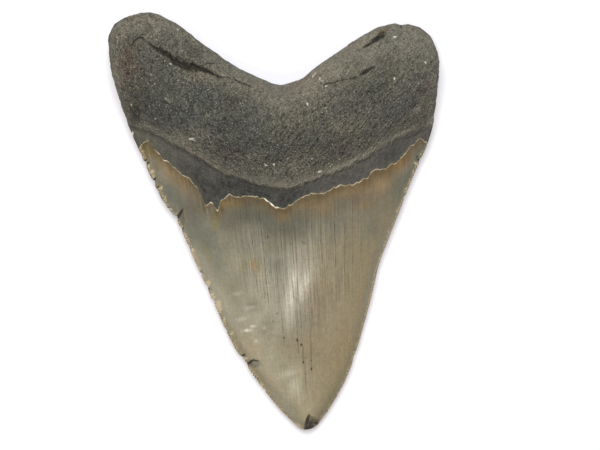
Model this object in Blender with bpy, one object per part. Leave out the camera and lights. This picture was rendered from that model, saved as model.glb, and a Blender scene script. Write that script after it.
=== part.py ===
# Fossil megalodon tooth, lying on its flat (labial) face with the curved (lingual) face up.
#
# It grew as one piece, so it is one closed solid. Seen from above, the tip points to -Y and the
# root to +Y. Two sheets of cells, the upper and the under face, meet along the tooth's outline.
# Each sheet runs through four zones from the tip to the top of the root, and the lines between
# the zones are the features that the eye knows the tooth by:
#
#   CROWN      tip to enamel edge, with serrated cutting edges
#   BOURLETTE  enamel edge to the ridge where the root starts
#   FACE       ridge to the crest of the root, with the bulge in the middle
#   BASAL      crest to the top margin, with the two lobes and the notch between them
#
# Lengths are in millimetres until the mesh is made.

import bpy
import numpy as np

MM = 0.001

CROWN, BOURLETTE, FACE, BASAL = range(4)

# Sides, from the tip up, as (y, x). The y values in *_STATIONS are where the zones end.
LEFT_SIDE = [
    (-60.8, 6.8), (-55.2, 1.2), (-43.8, -7.5), (-36.2, -12.4), (-24.7, -17.7), (-11.2, -23.8),
    (1.6, -29.6), (6.0, -32.9), (10.8, -35.4), (21.6, -40.2), (29.0, -43.3), (38.5, -46.4),
    (48.0, -48.3), (54.0, -48.6), (57.7, -47.3),
]
RIGHT_SIDE = [
    (-60.5, 12.7), (-55.2, 16.6), (-43.8, 22.5), (-28.5, 27.2), (-20.9, 29.2), (-12.6, 31.1),
    (-4.3, 34.2), (4.0, 37.5), (13.2, 41.0), (20.6, 44.3), (23.5, 45.5), (28.9, 47.0),
    (38.9, 48.1), (47.1, 48.6), (50.8, 47.9), (54.5, 46.2),
]
LEFT_STATIONS = (-60.8, 21.6, 29.0, 54.0, 57.7)
RIGHT_STATIONS = (-60.5, 23.5, 28.9, 50.8, 54.5)

# Lines across the tooth, left to right, as (x, y). Their ends lie on the sides.
TIP_EDGE = [(8.0, -61.5), (9.5, -61.8), (11.3, -61.4)]
ENAMEL_EDGE = [
    (-38.9, 23.2), (-37.2, 23.6), (-35.0, 21.1), (-29.5, 16.1), (-26.9, 14.6), (-23.6, 11.9),
    (-21.4, 9.2), (-19.4, 5.0), (-17.0, 4.2), (-14.8, 6.9), (-12.5, 7.6), (-5.9, 7.3),
    (-1.8, 6.4), (1.9, 3.9), (5.0, 5.2), (9.1, 7.1), (15.3, 8.6), (19.1, 10.4), (24.6, 11.6),
    (30.3, 15.5), (32.6, 15.4), (37.9, 19.6), (40.6, 23.0), (43.4, 25.1),
]
ROOT_RIDGE = [
    (-37.9, 27.5), (-33.2, 25.2), (-27.1, 21.8), (-21.2, 18.3), (-14.5, 15.4), (-8.2, 12.8),
    (-1.3, 10.5), (3.9, 9.5), (8.8, 11.6), (16.9, 15.1), (25.3, 19.8), (32.4, 24.0), (41.9, 27.8),
]
CREST = [
    (-44.6, 54.7), (-40.6, 53.9), (-36.7, 52.2), (-32.3, 49.2), (-27.9, 46.2), (-24.4, 44.1),
    (-19.3, 43.2), (-15.0, 41.4), (-7.0, 37.6), (2.0, 34.4), (8.0, 36.4), (14.6, 39.7),
    (19.4, 40.8), (24.6, 41.8), (28.2, 44.3), (34.0, 47.0), (41.0, 49.6),
]
TOP_MARGIN = [
    (-43.8, 60.1), (-37.3, 61.7), (-31.1, 59.8), (-21.7, 53.0), (-9.4, 44.8), (-3.5, 42.1),
    (2.1, 40.4), (7.7, 42.1), (13.0, 46.0), (19.7, 50.7), (27.1, 55.4), (31.5, 57.6),
    (36.5, 58.3), (42.0, 57.6),
]
UNDER_ENAMEL_EDGE = [(-30.0, 19.0), (-15.0, 15.8), (2.5, 14.4), (20.0, 16.4), (34.0, 20.4)]
UNDER_NECK = [(-22.0, 24.6), (2.0, 22.0), (25.0, 25.0)]
UNDER_CREST = [(-30.0, 47.0), (-15.0, 40.0), (2.0, 33.0), (17.0, 39.0), (32.0, 45.0)]

UPPER_LINES = (TIP_EDGE, ENAMEL_EDGE, ROOT_RIDGE, CREST, TOP_MARGIN)
UNDER_LINES = (TIP_EDGE, UNDER_ENAMEL_EDGE, UNDER_NECK, UNDER_CREST, TOP_MARGIN)

# Heights above the surface that the tooth lies on, as (y, z).
EDGE_HEIGHT = [(-61.8, 3.0), (22.0, 5.2), (30.0, 6.2), (46.0, 7.8), (62.0, 8.0)]  # of the outline
CROWN_TOP = [  # down the middle of the crown
    (-61.8, 6.4), (-57.0, 7.4), (-50.0, 9.0), (-30.0, 12.4), (-10.0, 15.2), (4.0, 16.8),
    (10.0, 17.2), (70.0, 17.2),
]
CROWN_UNDER = [
    (-61.8, 1.2), (-57.0, 0.7), (-50.0, 0.2), (-43.0, -0.25), (0.0, -0.25), (12.0, 0.1),
    (24.0, 0.9), (70.0, 0.9),
]
CROWN_FALL = 2.2  # power by which the upper face falls from the middle to the cutting edges
UNDER_RISE = 2.4
TIP_ROUNDING = 4.0
ENAMEL_STEP = 0.45  # how far the enamel stands above the bourlette
RIDGE_LIP = 0.45
UNDER_STEP = 0.35
STEP_REACH = 8.0  # length over which the steps fade away from their lines

ROOT_HEIGHT = 18.0
ROOT_BULGE = {"height": 5.8, "centre": (1.5, 29.0), "spread": (22.0, 13.0)}
LOBE_TAPER = {"drop": 2.5, "from": 29.0, "to": 49.0}
BASAL_DROP = 3.0
UPPER_ROUNDING = 5.0
UNDER_ROUNDING = 6.0
NECK_BLEND = 13.0  # length over which the crown's section turns into the root's
ROOT_LUMP = 0.4

REST_PATCH = {"x": 31.0, "y": 42.0, "reach": 13.0, "sag": 0.4}  # one under each lobe
ROOT_HOLLOW = {"height": 1.7, "centre": (1.0, 28.0), "spread": (15.0, 13.0)}

# Clefts along the crest: the x range, the depth and the half width.
CLEFTS = [
    {"from": -43.5, "to": -12.5, "depth": 2.3, "half_width": 1.2},
    {"from": 12.5, "to": 34.0, "depth": 1.0, "half_width": 0.8},
]
# Dents in the upper face: centre, half lengths along and across, direction in degrees, depth.
DENTS = [
    {"centre": (29.8, 53.4), "half": (4.2, 1.7), "turn": 33.0, "depth": 1.8},
    {"centre": (34.8, 41.6), "half": (1.5, 1.0), "turn": 120.0, "depth": 0.7},
    {"centre": (10.6, -59.4), "half": (2.2, 1.6), "turn": 60.0, "depth": 1.2},
]

# Cutting edges: three serrations to each row of cells.
SERRATION_ROWS = 37
SERRATIONS_A_ROW = 3
SERRATION_DEPTH = 0.36
# Flakes broken from the cutting edges: place, reach along the edge and depth into the tooth.
EDGE_CHIPS = [
    {"at": (-26.7, 4.4), "reach": 2.6, "depth": 1.0},
    {"at": (-33.4, 12.2), "reach": 1.7, "depth": 0.9},
    {"at": (-36.4, 16.2), "reach": 1.6, "depth": 0.8},
    {"at": (-9.0, -41.2), "reach": 2.2, "depth": 0.7},
    {"at": (24.2, -40.0), "reach": 1.6, "depth": 0.4},
]

UPPER_COLUMNS = 48
UNDER_COLUMNS = 24
# How far along its zone each row of cells ends.
ZONE_ROWS = (
    [row / SERRATION_ROWS for row in range(1, SERRATION_ROWS + 1)],
    [0.06, 0.5, 1.0],
    [0.025, 0.12, 0.26, 0.41, 0.56, 0.7, 0.82, 0.91, 0.965, 1.0],
    [0.08, 0.22, 0.42, 0.62, 0.8, 0.92, 1.0],
)
# How strongly the columns crowd towards the sides, where each zone ends.
COLUMN_CROWDING = (0.25, 0.25, 0.35, 0.65, 0.65)

ENAMEL_COLOUR = (0.235, 0.215, 0.155, 1.0)
BOURLETTE_COLOUR = (0.055, 0.062, 0.065, 1.0)
ROOT_COLOUR = (0.085, 0.078, 0.062, 1.0)


def smooth_value(points, at):
    """A smooth curve through (position, value) points that never swings past them."""
    place, value = np.array(points, dtype=float).T
    gap = np.diff(place)
    slope = np.diff(value) / gap
    tangent = np.zeros_like(value)
    same_way = slope[:-1] * slope[1:] > 0
    inner = np.where(same_way, slope[:-1] * slope[1:], 0.0)
    mean = np.where(same_way, slope[:-1] + slope[1:], 1.0)
    tangent[1:-1] = 2.0 * inner / mean
    tangent[0], tangent[-1] = slope[0], slope[-1]
    at = np.clip(at, place[0], place[-1])
    span = np.clip(np.searchsorted(place, at, side="right") - 1, 0, len(gap) - 1)
    f = (at - place[span]) / gap[span]
    start = (1 + 2 * f) * (1 - f) ** 2 * value[span] + f * (1 - f) ** 2 * gap[span] * tangent[span]
    end = f * f * (3 - 2 * f) * value[span + 1] - f * f * (1 - f) * gap[span] * tangent[span + 1]
    return start + end


def ramp(value, low, high):
    """0 up to low, 1 from high on, and smooth between."""
    f = np.clip((value - low) / (high - low), 0.0, 1.0)
    return f * f * (3 - 2 * f)


def rounding(distance, radius):
    """0 at a margin, rising as a quarter circle to 1 at the radius."""
    f = np.clip(1.0 - distance / radius, 0.0, 1.0)
    return np.sqrt(1.0 - f * f)


def side_point(side, stations, zone, along):
    y = stations[zone] + (stations[zone + 1] - stations[zone]) * along
    return np.array([smooth_value(side, y), y])


def left_point(zone, along):
    return side_point(LEFT_SIDE, LEFT_STATIONS, zone, along)


def right_point(zone, along):
    return side_point(RIGHT_SIDE, RIGHT_STATIONS, zone, along)


def whole_line(lines, number):
    """A line across the tooth with its two ends on the sides."""
    zone, along = (number, 0.0) if number < 4 else (3, 1.0)
    return [tuple(left_point(zone, along)), *lines[number], tuple(right_point(zone, along))]


def line_height(lines, number, x):
    return smooth_value(whole_line(lines, number), x)


def line_point(lines, number, across):
    points = whole_line(lines, number)
    x = points[0][0] + (points[-1][0] - points[0][0]) * across
    return np.array([x, smooth_value(points, x)])


def place_in_zone(lines, zone, along, across):
    """The Coons patch between the zone's two lines and the tooth's two sides."""
    low = line_point(lines, zone, across)
    high = line_point(lines, zone + 1, across)
    left = left_point(zone, along)[:, None]
    right = right_point(zone, along)[:, None]
    corners = (1 - along) * ((1 - across) * low[:, :1] + across * low[:, -1:])
    corners += along * ((1 - across) * high[:, :1] + across * high[:, -1:])
    return (1 - along) * low + along * high + (1 - across) * left + across * right - corners


def row_list():
    rows = [(CROWN, 0.0)]
    for zone, ends in enumerate(ZONE_ROWS):
        rows += [(zone, end) for end in ends]
    return rows


def between(values, zone, along):
    return values[zone] + (values[zone + 1] - values[zone]) * along


def column_places(columns, zone, along):
    even = np.linspace(0.0, 1.0, columns + 1)
    crowding = between(COLUMN_CROWDING, zone, along)
    return (1 - crowding) * even + crowding * (1 - np.cos(np.pi * even)) / 2


def outline():
    """Points close together all round the tooth, for measuring how deep inside it a point is."""
    steps = np.linspace(0.0, 1.0, 80)
    parts = [line_point(UPPER_LINES, 0, steps).T, line_point(UPPER_LINES, 4, steps).T]
    for zone in range(4):
        parts += [left_point(zone, steps).T, right_point(zone, steps).T]
    return np.concatenate(parts)


def depth_inside(x, y, rim):
    return np.min(np.hypot(x[:, None] - rim[:, 0], y[:, None] - rim[:, 1]), axis=1)


def bump(x, y, centre, spread):
    return np.exp(-(((x - centre[0]) / spread[0]) ** 2) - ((y - centre[1]) / spread[1]) ** 2)


def lumps(x, y):
    """Broad uneven waves of the root's surface, between about -1 and 1."""
    waves = np.sin(0.33 * x + 1.3) * np.sin(0.29 * y + 0.4)
    waves += 0.6 * np.sin(0.58 * x - 0.21 * y + 2.0) * np.sin(0.17 * x + 0.51 * y)
    return waves / 1.6


def cleft_depth(x, y):
    off_crest = (y - line_height(UPPER_LINES, BASAL, x)) * 0.87
    depth = np.zeros_like(x)
    for cleft in CLEFTS:
        middle = (cleft["from"] + cleft["to"]) / 2
        reach = (cleft["to"] - cleft["from"]) / 2
        strength = np.clip(1 - ((x - middle) / reach) ** 2, 0.0, 1.0) ** 0.7
        valley = np.exp(-((off_crest / cleft["half_width"]) ** 2))
        shoulder = np.exp(-(((off_crest - 2.0) / 1.4) ** 2))
        depth += cleft["depth"] * strength * (valley - 0.3 * shoulder)
    return depth


def dent_depth(x, y):
    depth = np.zeros_like(x)
    for dent in DENTS:
        turn = np.radians(dent["turn"])
        dx, dy = x - dent["centre"][0], y - dent["centre"][1]
        along = (dx * np.cos(turn) + dy * np.sin(turn)) / dent["half"][0]
        aside = (dy * np.cos(turn) - dx * np.sin(turn)) / dent["half"][1]
        depth += dent["depth"] * np.exp(-(along**2) - aside**2)
    return depth


def lens(x, y, power):
    """1 down the middle of the crown, falling to 0 at both cutting edges and at the tip."""
    left, right = smooth_value(LEFT_SIDE, y), smooth_value(RIGHT_SIDE, y)
    off_middle = np.clip(np.abs(2 * (x - left) / (right - left) - 1), 0.0, 1.0)
    from_tip = y - line_height(UPPER_LINES, 0, x)
    return (1 - off_middle**power) * rounding(from_tip, TIP_ROUNDING)


def upper_height(x, y, zone, along, rim):
    edge = smooth_value(EDGE_HEIGHT, y)
    inside = depth_inside(x, y, rim)
    crown = edge + (smooth_value(CROWN_TOP, y) - edge) * lens(x, y, CROWN_FALL)

    crest, margin = line_height(UPPER_LINES, BASAL, x), line_height(UPPER_LINES, 4, x)
    root = ROOT_HEIGHT + ROOT_BULGE["height"] * bump(x, y, ROOT_BULGE["centre"], ROOT_BULGE["spread"])
    root -= LOBE_TAPER["drop"] * ramp(np.abs(x), LOBE_TAPER["from"], LOBE_TAPER["to"])
    root -= BASAL_DROP * ramp(y, crest, margin + 1.0)
    root += ROOT_LUMP * lumps(x, y)
    root = edge + (root - edge) * rounding(inside, UPPER_ROUNDING)

    past_ridge = y - line_height(UPPER_LINES, FACE, x)
    z = crown + (root - crown) * ramp(past_ridge, 0.0, NECK_BLEND)
    off_rim = ramp(inside, 0.0, 2.5)
    if zone == CROWN:
        z += ENAMEL_STEP * off_rim
    elif zone == FACE and along > 0.0:
        z += RIDGE_LIP * off_rim * ramp(past_ridge, STEP_REACH, 0.0)
    return z - (cleft_depth(x, y) + dent_depth(x, y)) * off_rim


def under_height(x, y, zone, along, rim):
    edge = smooth_value(EDGE_HEIGHT, y)
    inside = depth_inside(x, y, rim)
    crown = edge - (edge - smooth_value(CROWN_UNDER, y)) * lens(x, y, UNDER_RISE)

    off_patch_x = (np.abs(x) - REST_PATCH["x"]) / REST_PATCH["reach"]
    off_patch_y = (y - REST_PATCH["y"]) / REST_PATCH["reach"]
    root = off_patch_x**2 + off_patch_y**2 - REST_PATCH["sag"]
    root += ROOT_HOLLOW["height"] * bump(x, y, ROOT_HOLLOW["centre"], ROOT_HOLLOW["spread"])
    root = edge - (edge - root) * rounding(inside, UNDER_ROUNDING)

    past_enamel = y - line_height(UNDER_LINES, BOURLETTE, x)
    z = crown + (root - crown) * ramp(past_enamel, 0.0, NECK_BLEND)
    if zone > CROWN:
        z += UNDER_STEP * ramp(inside, 0.0, 2.5) * ramp(past_enamel, STEP_REACH, 0.0)
    return np.maximum(z, 0.0)


def sheet(lines, columns, height_rule, rim):
    """Every point of one face of the tooth, as rows of (x, y, z)."""
    grid = []
    for zone, along in row_list():
        x, y = place_in_zone(lines, zone, along, column_places(columns, zone, along))
        grid.append(np.stack([x, y, height_rule(x, y, zone, along, rim)], axis=1))
    return grid


def chipped(x, y):
    """How far the cutting edge is broken back at a place."""
    depth = 0.0
    for chip in EDGE_CHIPS:
        off = np.hypot(x - chip["at"][0], y - chip["at"][1]) / chip["reach"]
        depth += chip["depth"] * np.exp(-(off**2))
    return depth


def edge_points(side, cell_width):
    """The cutting edge of one side: rows of points that start and end in a serration's valley."""
    point_at, inward = (left_point, 1.0) if side == "left" else (right_point, -1.0)
    steps = 2 * SERRATIONS_A_ROW
    count = SERRATION_ROWS * steps + 1
    points = []
    for step in range(count):
        along = step / (count - 1)
        here = point_at(CROWN, along)
        ahead = point_at(CROWN, min(along + 0.002, 1.0)) - point_at(CROWN, max(along - 0.002, 0.0))
        ahead /= np.hypot(*ahead)
        normal = inward * np.array([ahead[1], -ahead[0]])
        room = 0.4 * cell_width[min(step // steps, SERRATION_ROWS - 1)]
        valley = 0.75 if step % 2 == 0 else -0.25
        push = min(SERRATION_DEPTH, room) * valley
        push = min(push + chipped(*here), 0.9 * cell_width[min(step // steps, SERRATION_ROWS - 1)])
        if step in (0, count - 1):
            push = 0.0
        place = here + push * normal
        points.append((place[0], place[1], smooth_value(EDGE_HEIGHT, here[1])))
    return [points[row * steps:(row + 1) * steps + 1] for row in range(SERRATION_ROWS)]


class Mesh:
    """Vertices and triangles as they are added, with the zone of each triangle."""

    def __init__(self):
        self.points = []
        self.faces = []
        self.zones = []

    def point(self, place):
        self.points.append(tuple(float(value) for value in place))
        return len(self.points) - 1

    def face(self, corners, zone, upper):
        self.faces.append(tuple(corners) if upper else tuple(reversed(corners)))
        self.zones.append(zone)

    def rim_cell(self, chain, inner, zone, upper):
        """Fans from the inner corners, so that no triangle lies wholly on the outline."""
        half = len(chain) // 2 if len(inner) == 2 else 0
        for step in range(len(chain) - 1):
            apex = inner[-1] if step < half else inner[0]
            self.face((chain[step], chain[step + 1], apex), zone, upper)
        if len(inner) == 2:
            self.face((chain[half], inner[0], inner[1]), zone, upper)


def on_edge(mesh, place):
    return mesh.point((place[0], place[1], smooth_value(EDGE_HEIGHT, place[1])))


def rim_vertices(mesh, grid, edges):
    """The outline's vertices: the tip row, the top row, and a chain for each row on both sides."""
    tip_row = [on_edge(mesh, place) for place in grid[0]]
    top_row = [on_edge(mesh, place) for place in grid[-1]]
    chains = {}
    for name, column in (("left", 0), ("right", -1)):
        start = tip_row[column]
        chains[name] = []
        for row in range(1, len(grid)):
            chain = [start]
            if row <= SERRATION_ROWS:
                chain += [mesh.point(place) for place in edges[name][row - 1][1:-1]]
            if row < SERRATION_ROWS:
                chain.append(mesh.point(edges[name][row - 1][-1]))
            elif row < len(grid) - 1:
                chain.append(on_edge(mesh, grid[row][column]))
            else:
                chain.append(top_row[column])
            chains[name].append(chain)
            start = chain[-1]
    return tip_row, top_row, chains


def skin(mesh, grid, rim, upper):
    """One face of the tooth, between the outline's vertices."""
    tip_row, top_row, chains = rim
    rows, columns = len(grid) - 1, len(grid[0]) - 1
    stride = (len(tip_row) - 1) // columns
    inner = {
        (row, column): mesh.point(grid[row][column])
        for row in range(1, rows)
        for column in range(1, columns)
    }
    zones = [zone for zone, along in row_list()][1:]
    for row in range(rows):
        for column in range(columns):
            ring = [(row, column), (row, column + 1), (row + 1, column + 1), (row + 1, column)]
            span = slice(column * stride, (column + 1) * stride + 1)
            # The stretches of outline from each corner of the ring to the next, if there are any.
            sides = [
                tip_row[span] if row == 0 else [],
                chains["right"][row] if column == columns - 1 else [],
                top_row[span][::-1] if row == rows - 1 else [],
                chains["left"][row][::-1] if column == 0 else [],
            ]
            if not any(sides):
                mesh.face([inner[corner] for corner in ring], zones[row], upper)
                continue
            side = next(n for n in range(4) if sides[n] and not sides[n - 1])
            chain = []
            while sides[side % 4]:
                chain = chain[:-1] + sides[side % 4]
                side += 1
            after = [ring[(side + n) % 4] for n in (1, 2, 3)]
            mesh.rim_cell(chain, [inner[c] for c in after if c in inner], zones[row], upper)


def material(name, colour, roughness):
    made = bpy.data.materials.new(name)
    made.use_nodes = True
    shader = made.node_tree.nodes["Principled BSDF"]
    shader.inputs["Base Color"].default_value = colour
    shader.inputs["Roughness"].default_value = roughness
    made.diffuse_color = colour
    return made


def make_tooth():
    rim_line = outline()
    upper = sheet(UPPER_LINES, UPPER_COLUMNS, upper_height, rim_line)
    under = sheet(UNDER_LINES, UNDER_COLUMNS, under_height, rim_line)
    edges = {}
    for name, first, second in (("left", 0, 1), ("right", -1, -2)):
        gaps = [np.hypot(*(row[first] - row[second])[:2]) for row in upper[1:SERRATION_ROWS + 1]]
        edges[name] = edge_points(name, gaps)

    mesh = Mesh()
    rim = rim_vertices(mesh, upper, edges)
    skin(mesh, upper, rim, upper=True)
    skin(mesh, under, rim, upper=False)

    # The origin is the middle of the tooth's box, on the surface that it lies on.
    points = np.array(mesh.points)
    low, high = points.min(axis=0), points.max(axis=0)
    points -= [(low[0] + high[0]) / 2, (low[1] + high[1]) / 2, low[2]]

    data = bpy.data.meshes.new("tooth")
    data.from_pydata([tuple(point) for point in points * MM], [], mesh.faces)
    data.materials.append(material("fossil_enamel", ENAMEL_COLOUR, 0.35))
    data.materials.append(material("fossil_bourlette", BOURLETTE_COLOUR, 0.45))
    data.materials.append(material("fossil_root", ROOT_COLOUR, 0.8))
    data.polygons.foreach_set("material_index", [min(zone, 2) for zone in mesh.zones])
    data.validate()
    data.shade_smooth()
    data.set_sharp_from_angle(angle=np.radians(40))
    tooth = bpy.data.objects.new("tooth", data)
    bpy.context.collection.objects.link(tooth)


for old in list(bpy.data.objects):
    bpy.data.objects.remove(old, do_unlink=True)
make_tooth()
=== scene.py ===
import math

import bpy
import numpy as np
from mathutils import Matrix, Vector, noise


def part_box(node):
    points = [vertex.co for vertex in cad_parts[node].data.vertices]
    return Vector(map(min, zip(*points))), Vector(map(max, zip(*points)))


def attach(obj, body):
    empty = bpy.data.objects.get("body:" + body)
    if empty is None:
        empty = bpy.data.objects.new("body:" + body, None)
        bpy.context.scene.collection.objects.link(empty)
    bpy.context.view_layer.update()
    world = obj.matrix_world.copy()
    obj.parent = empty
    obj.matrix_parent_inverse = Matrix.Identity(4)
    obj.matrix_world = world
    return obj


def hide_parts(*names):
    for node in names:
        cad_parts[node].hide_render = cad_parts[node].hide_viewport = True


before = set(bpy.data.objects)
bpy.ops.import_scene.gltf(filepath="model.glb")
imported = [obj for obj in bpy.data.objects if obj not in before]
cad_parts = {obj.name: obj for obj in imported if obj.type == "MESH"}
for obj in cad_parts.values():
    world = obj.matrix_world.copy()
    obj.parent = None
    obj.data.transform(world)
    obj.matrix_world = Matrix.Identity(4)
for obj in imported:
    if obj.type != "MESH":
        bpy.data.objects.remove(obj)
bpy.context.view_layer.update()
print("frame loaded")

# A fossil megalodon tooth, lying on its flat (labial) face. Tables are in millimetres.
mm = 0.001
crown, bourlette, rootFace, basal = range(4)  # the zones, from the tip to the top of the root

tooth = {
    # the two sides, from the tip up, as (y, x), and the y values where the zones end
    "left": [
        (-60.8, 6.8), (-55.2, 1.2), (-43.8, -7.5), (-36.2, -12.4), (-24.7, -17.7), (-11.2, -23.8),
        (1.6, -29.6), (6.0, -32.9), (10.8, -35.4), (21.6, -40.2), (29.0, -43.3), (38.5, -46.4),
        (48.0, -48.3), (54.0, -48.6), (57.7, -47.3),
    ],
    "right": [
        (-60.5, 12.7), (-55.2, 16.6), (-43.8, 22.5), (-28.5, 27.2), (-20.9, 29.2), (-12.6, 31.1),
        (-4.3, 34.2), (4.0, 37.5), (13.2, 41.0), (20.6, 44.3), (23.5, 45.5), (28.9, 47.0),
        (38.9, 48.1), (47.1, 48.6), (50.8, 47.9), (54.5, 46.2),
    ],
    "leftStations": (-60.8, 21.6, 29.0, 54.0, 57.7),
    "rightStations": (-60.5, 23.5, 28.9, 50.8, 54.5),
    # lines across the tooth, left to right, as (x, y); their ends lie on the sides
    "tipEdge": [(8.0, -61.5), (9.5, -61.8), (11.3, -61.4)],
    "enamelLine": [  # the broad run of the enamel's edge, that the rows of cells follow
        (-37.5, 23.4), (-29.5, 16.3), (-21.4, 9.0), (-14.5, 6.6), (-5.9, 7.0), (1.9, 5.0),
        (9.1, 7.1), (19.1, 10.4), (31.5, 15.6), (40.0, 22.3), (43.4, 25.1),
    ],
    "brokenEnamel": [  # the edge as it is broken
        (-38.9, 23.2), (-37.3, 23.7), (-36.2, 22.9), (-35.1, 21.1), (-33.6, 20.0), (-32.3, 18.4),
        (-30.6, 17.4), (-29.5, 16.1), (-26.9, 14.2), (-25.2, 12.8), (-23.6, 11.4), (-22.4, 9.8),
        (-21.4, 8.3), (-20.7, 7.0), (-19.8, 4.9), (-18.9, 5.3), (-18.0, 5.7), (-17.0, 4.1),
        (-16.3, 3.0), (-15.5, 6.0), (-14.6, 6.5), (-13.3, 7.6), (-10.0, 7.5), (-5.9, 7.3),
        (-2.6, 6.7), (-0.7, 5.4), (0.9, 4.1), (2.6, 3.9), (5.2, 5.2), (7.6, 6.7), (9.1, 7.1),
        (10.6, 8.1), (13.1, 8.4), (15.3, 8.6), (17.4, 9.9), (19.1, 10.4), (22.8, 10.8),
        (24.6, 11.6), (27.2, 12.9), (28.6, 14.7), (30.3, 15.5), (32.6, 15.4), (34.3, 16.9),
        (36.0, 17.5), (37.9, 19.6), (39.9, 22.1), (41.9, 23.6), (43.3, 25.0), (43.9, 24.7),
        (44.5, 23.9),
    ],
    "ridge": [
        (-37.9, 27.1), (-33.2, 24.7), (-27.1, 21.7), (-21.2, 18.3), (-15.0, 14.4), (-8.2, 12.0),
        (-1.3, 10.3), (3.9, 9.5), (8.8, 11.0), (16.9, 14.1), (25.3, 17.8), (32.4, 22.2),
        (41.9, 27.0),
    ],
    "crest": [
        (-44.6, 54.7), (-40.6, 53.9), (-36.7, 52.2), (-32.3, 49.2), (-27.9, 46.3), (-24.4, 44.6),
        (-21.5, 44.2), (-19.3, 43.8), (-17.0, 42.5), (-15.0, 41.4), (-7.0, 37.6), (2.0, 34.4),
        (8.0, 36.4), (14.6, 39.7), (19.4, 40.8), (24.6, 41.8), (28.2, 44.3), (34.0, 47.0),
        (41.0, 49.6),
    ],
    "margin": [
        (-43.8, 60.1), (-37.3, 61.7), (-31.1, 59.8), (-21.7, 53.0), (-9.4, 44.8), (-3.5, 42.1),
        (2.1, 40.4), (7.7, 42.1), (13.0, 46.0), (19.7, 50.7), (27.1, 55.4), (31.5, 57.6),
        (35.7, 58.4), (37.4, 58.0), (39.2, 58.3), (42.0, 57.6),
    ],
    "underEnamel": [(-30.0, 19.0), (-15.0, 15.8), (2.5, 14.4), (20.0, 16.4), (34.0, 20.4)],
    "underNeck": [(-22.0, 24.6), (2.0, 22.0), (25.0, 25.0)],
    "underCrest": [(-30.0, 47.0), (-15.0, 40.0), (2.0, 33.0), (17.0, 39.0), (32.0, 45.0)],
    # heights above the floor, as (y, z)
    "edgeHeight": [(-61.8, 3.0), (22.0, 5.2), (30.0, 6.2), (46.0, 7.8), (62.0, 8.0)],
    "crownTop": [
        (-61.8, 6.4), (-57.0, 7.4), (-50.0, 9.0), (-30.0, 12.4), (-10.0, 15.2), (4.0, 16.8),
        (10.0, 17.2), (70.0, 17.2),
    ],
    "crownUnder": [
        (-61.8, 1.2), (-57.0, 0.7), (-50.0, 0.2), (-43.0, -0.25), (0.0, -0.25), (12.0, 0.1),
        (24.0, 0.9), (70.0, 0.9),
    ],
    "crownFall": 2.2, "underRise": 2.4, "tipRounding": 4.0,
    "enamelStep": 0.45, "ridgeLip": 0.45, "underStep": 0.35, "stepReach": 8.0,
    "rootHeight": 18.0, "bulge": 5.8, "bulgeCentre": (1.5, 29.0), "bulgeSpread": (22.0, 13.0),
    "lobeTaper": 2.5, "lobeFrom": 29.0, "lobeTo": 49.0, "basalDrop": 3.0,
    "upperRounding": 5.0, "underRounding": 6.0, "neckBlend": 13.0, "lump": 0.4,
    "restX": 31.0, "restY": 42.0, "restReach": 13.0, "restSag": 0.4,
    "hollow": 1.7, "hollowCentre": (1.0, 28.0), "hollowSpread": (15.0, 13.0),
    "sink": 0.25,  # how far the bourlette dips between its two lines
    "ridgeBead": 0.28,  # the rounded lip that the root ends in
}

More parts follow.
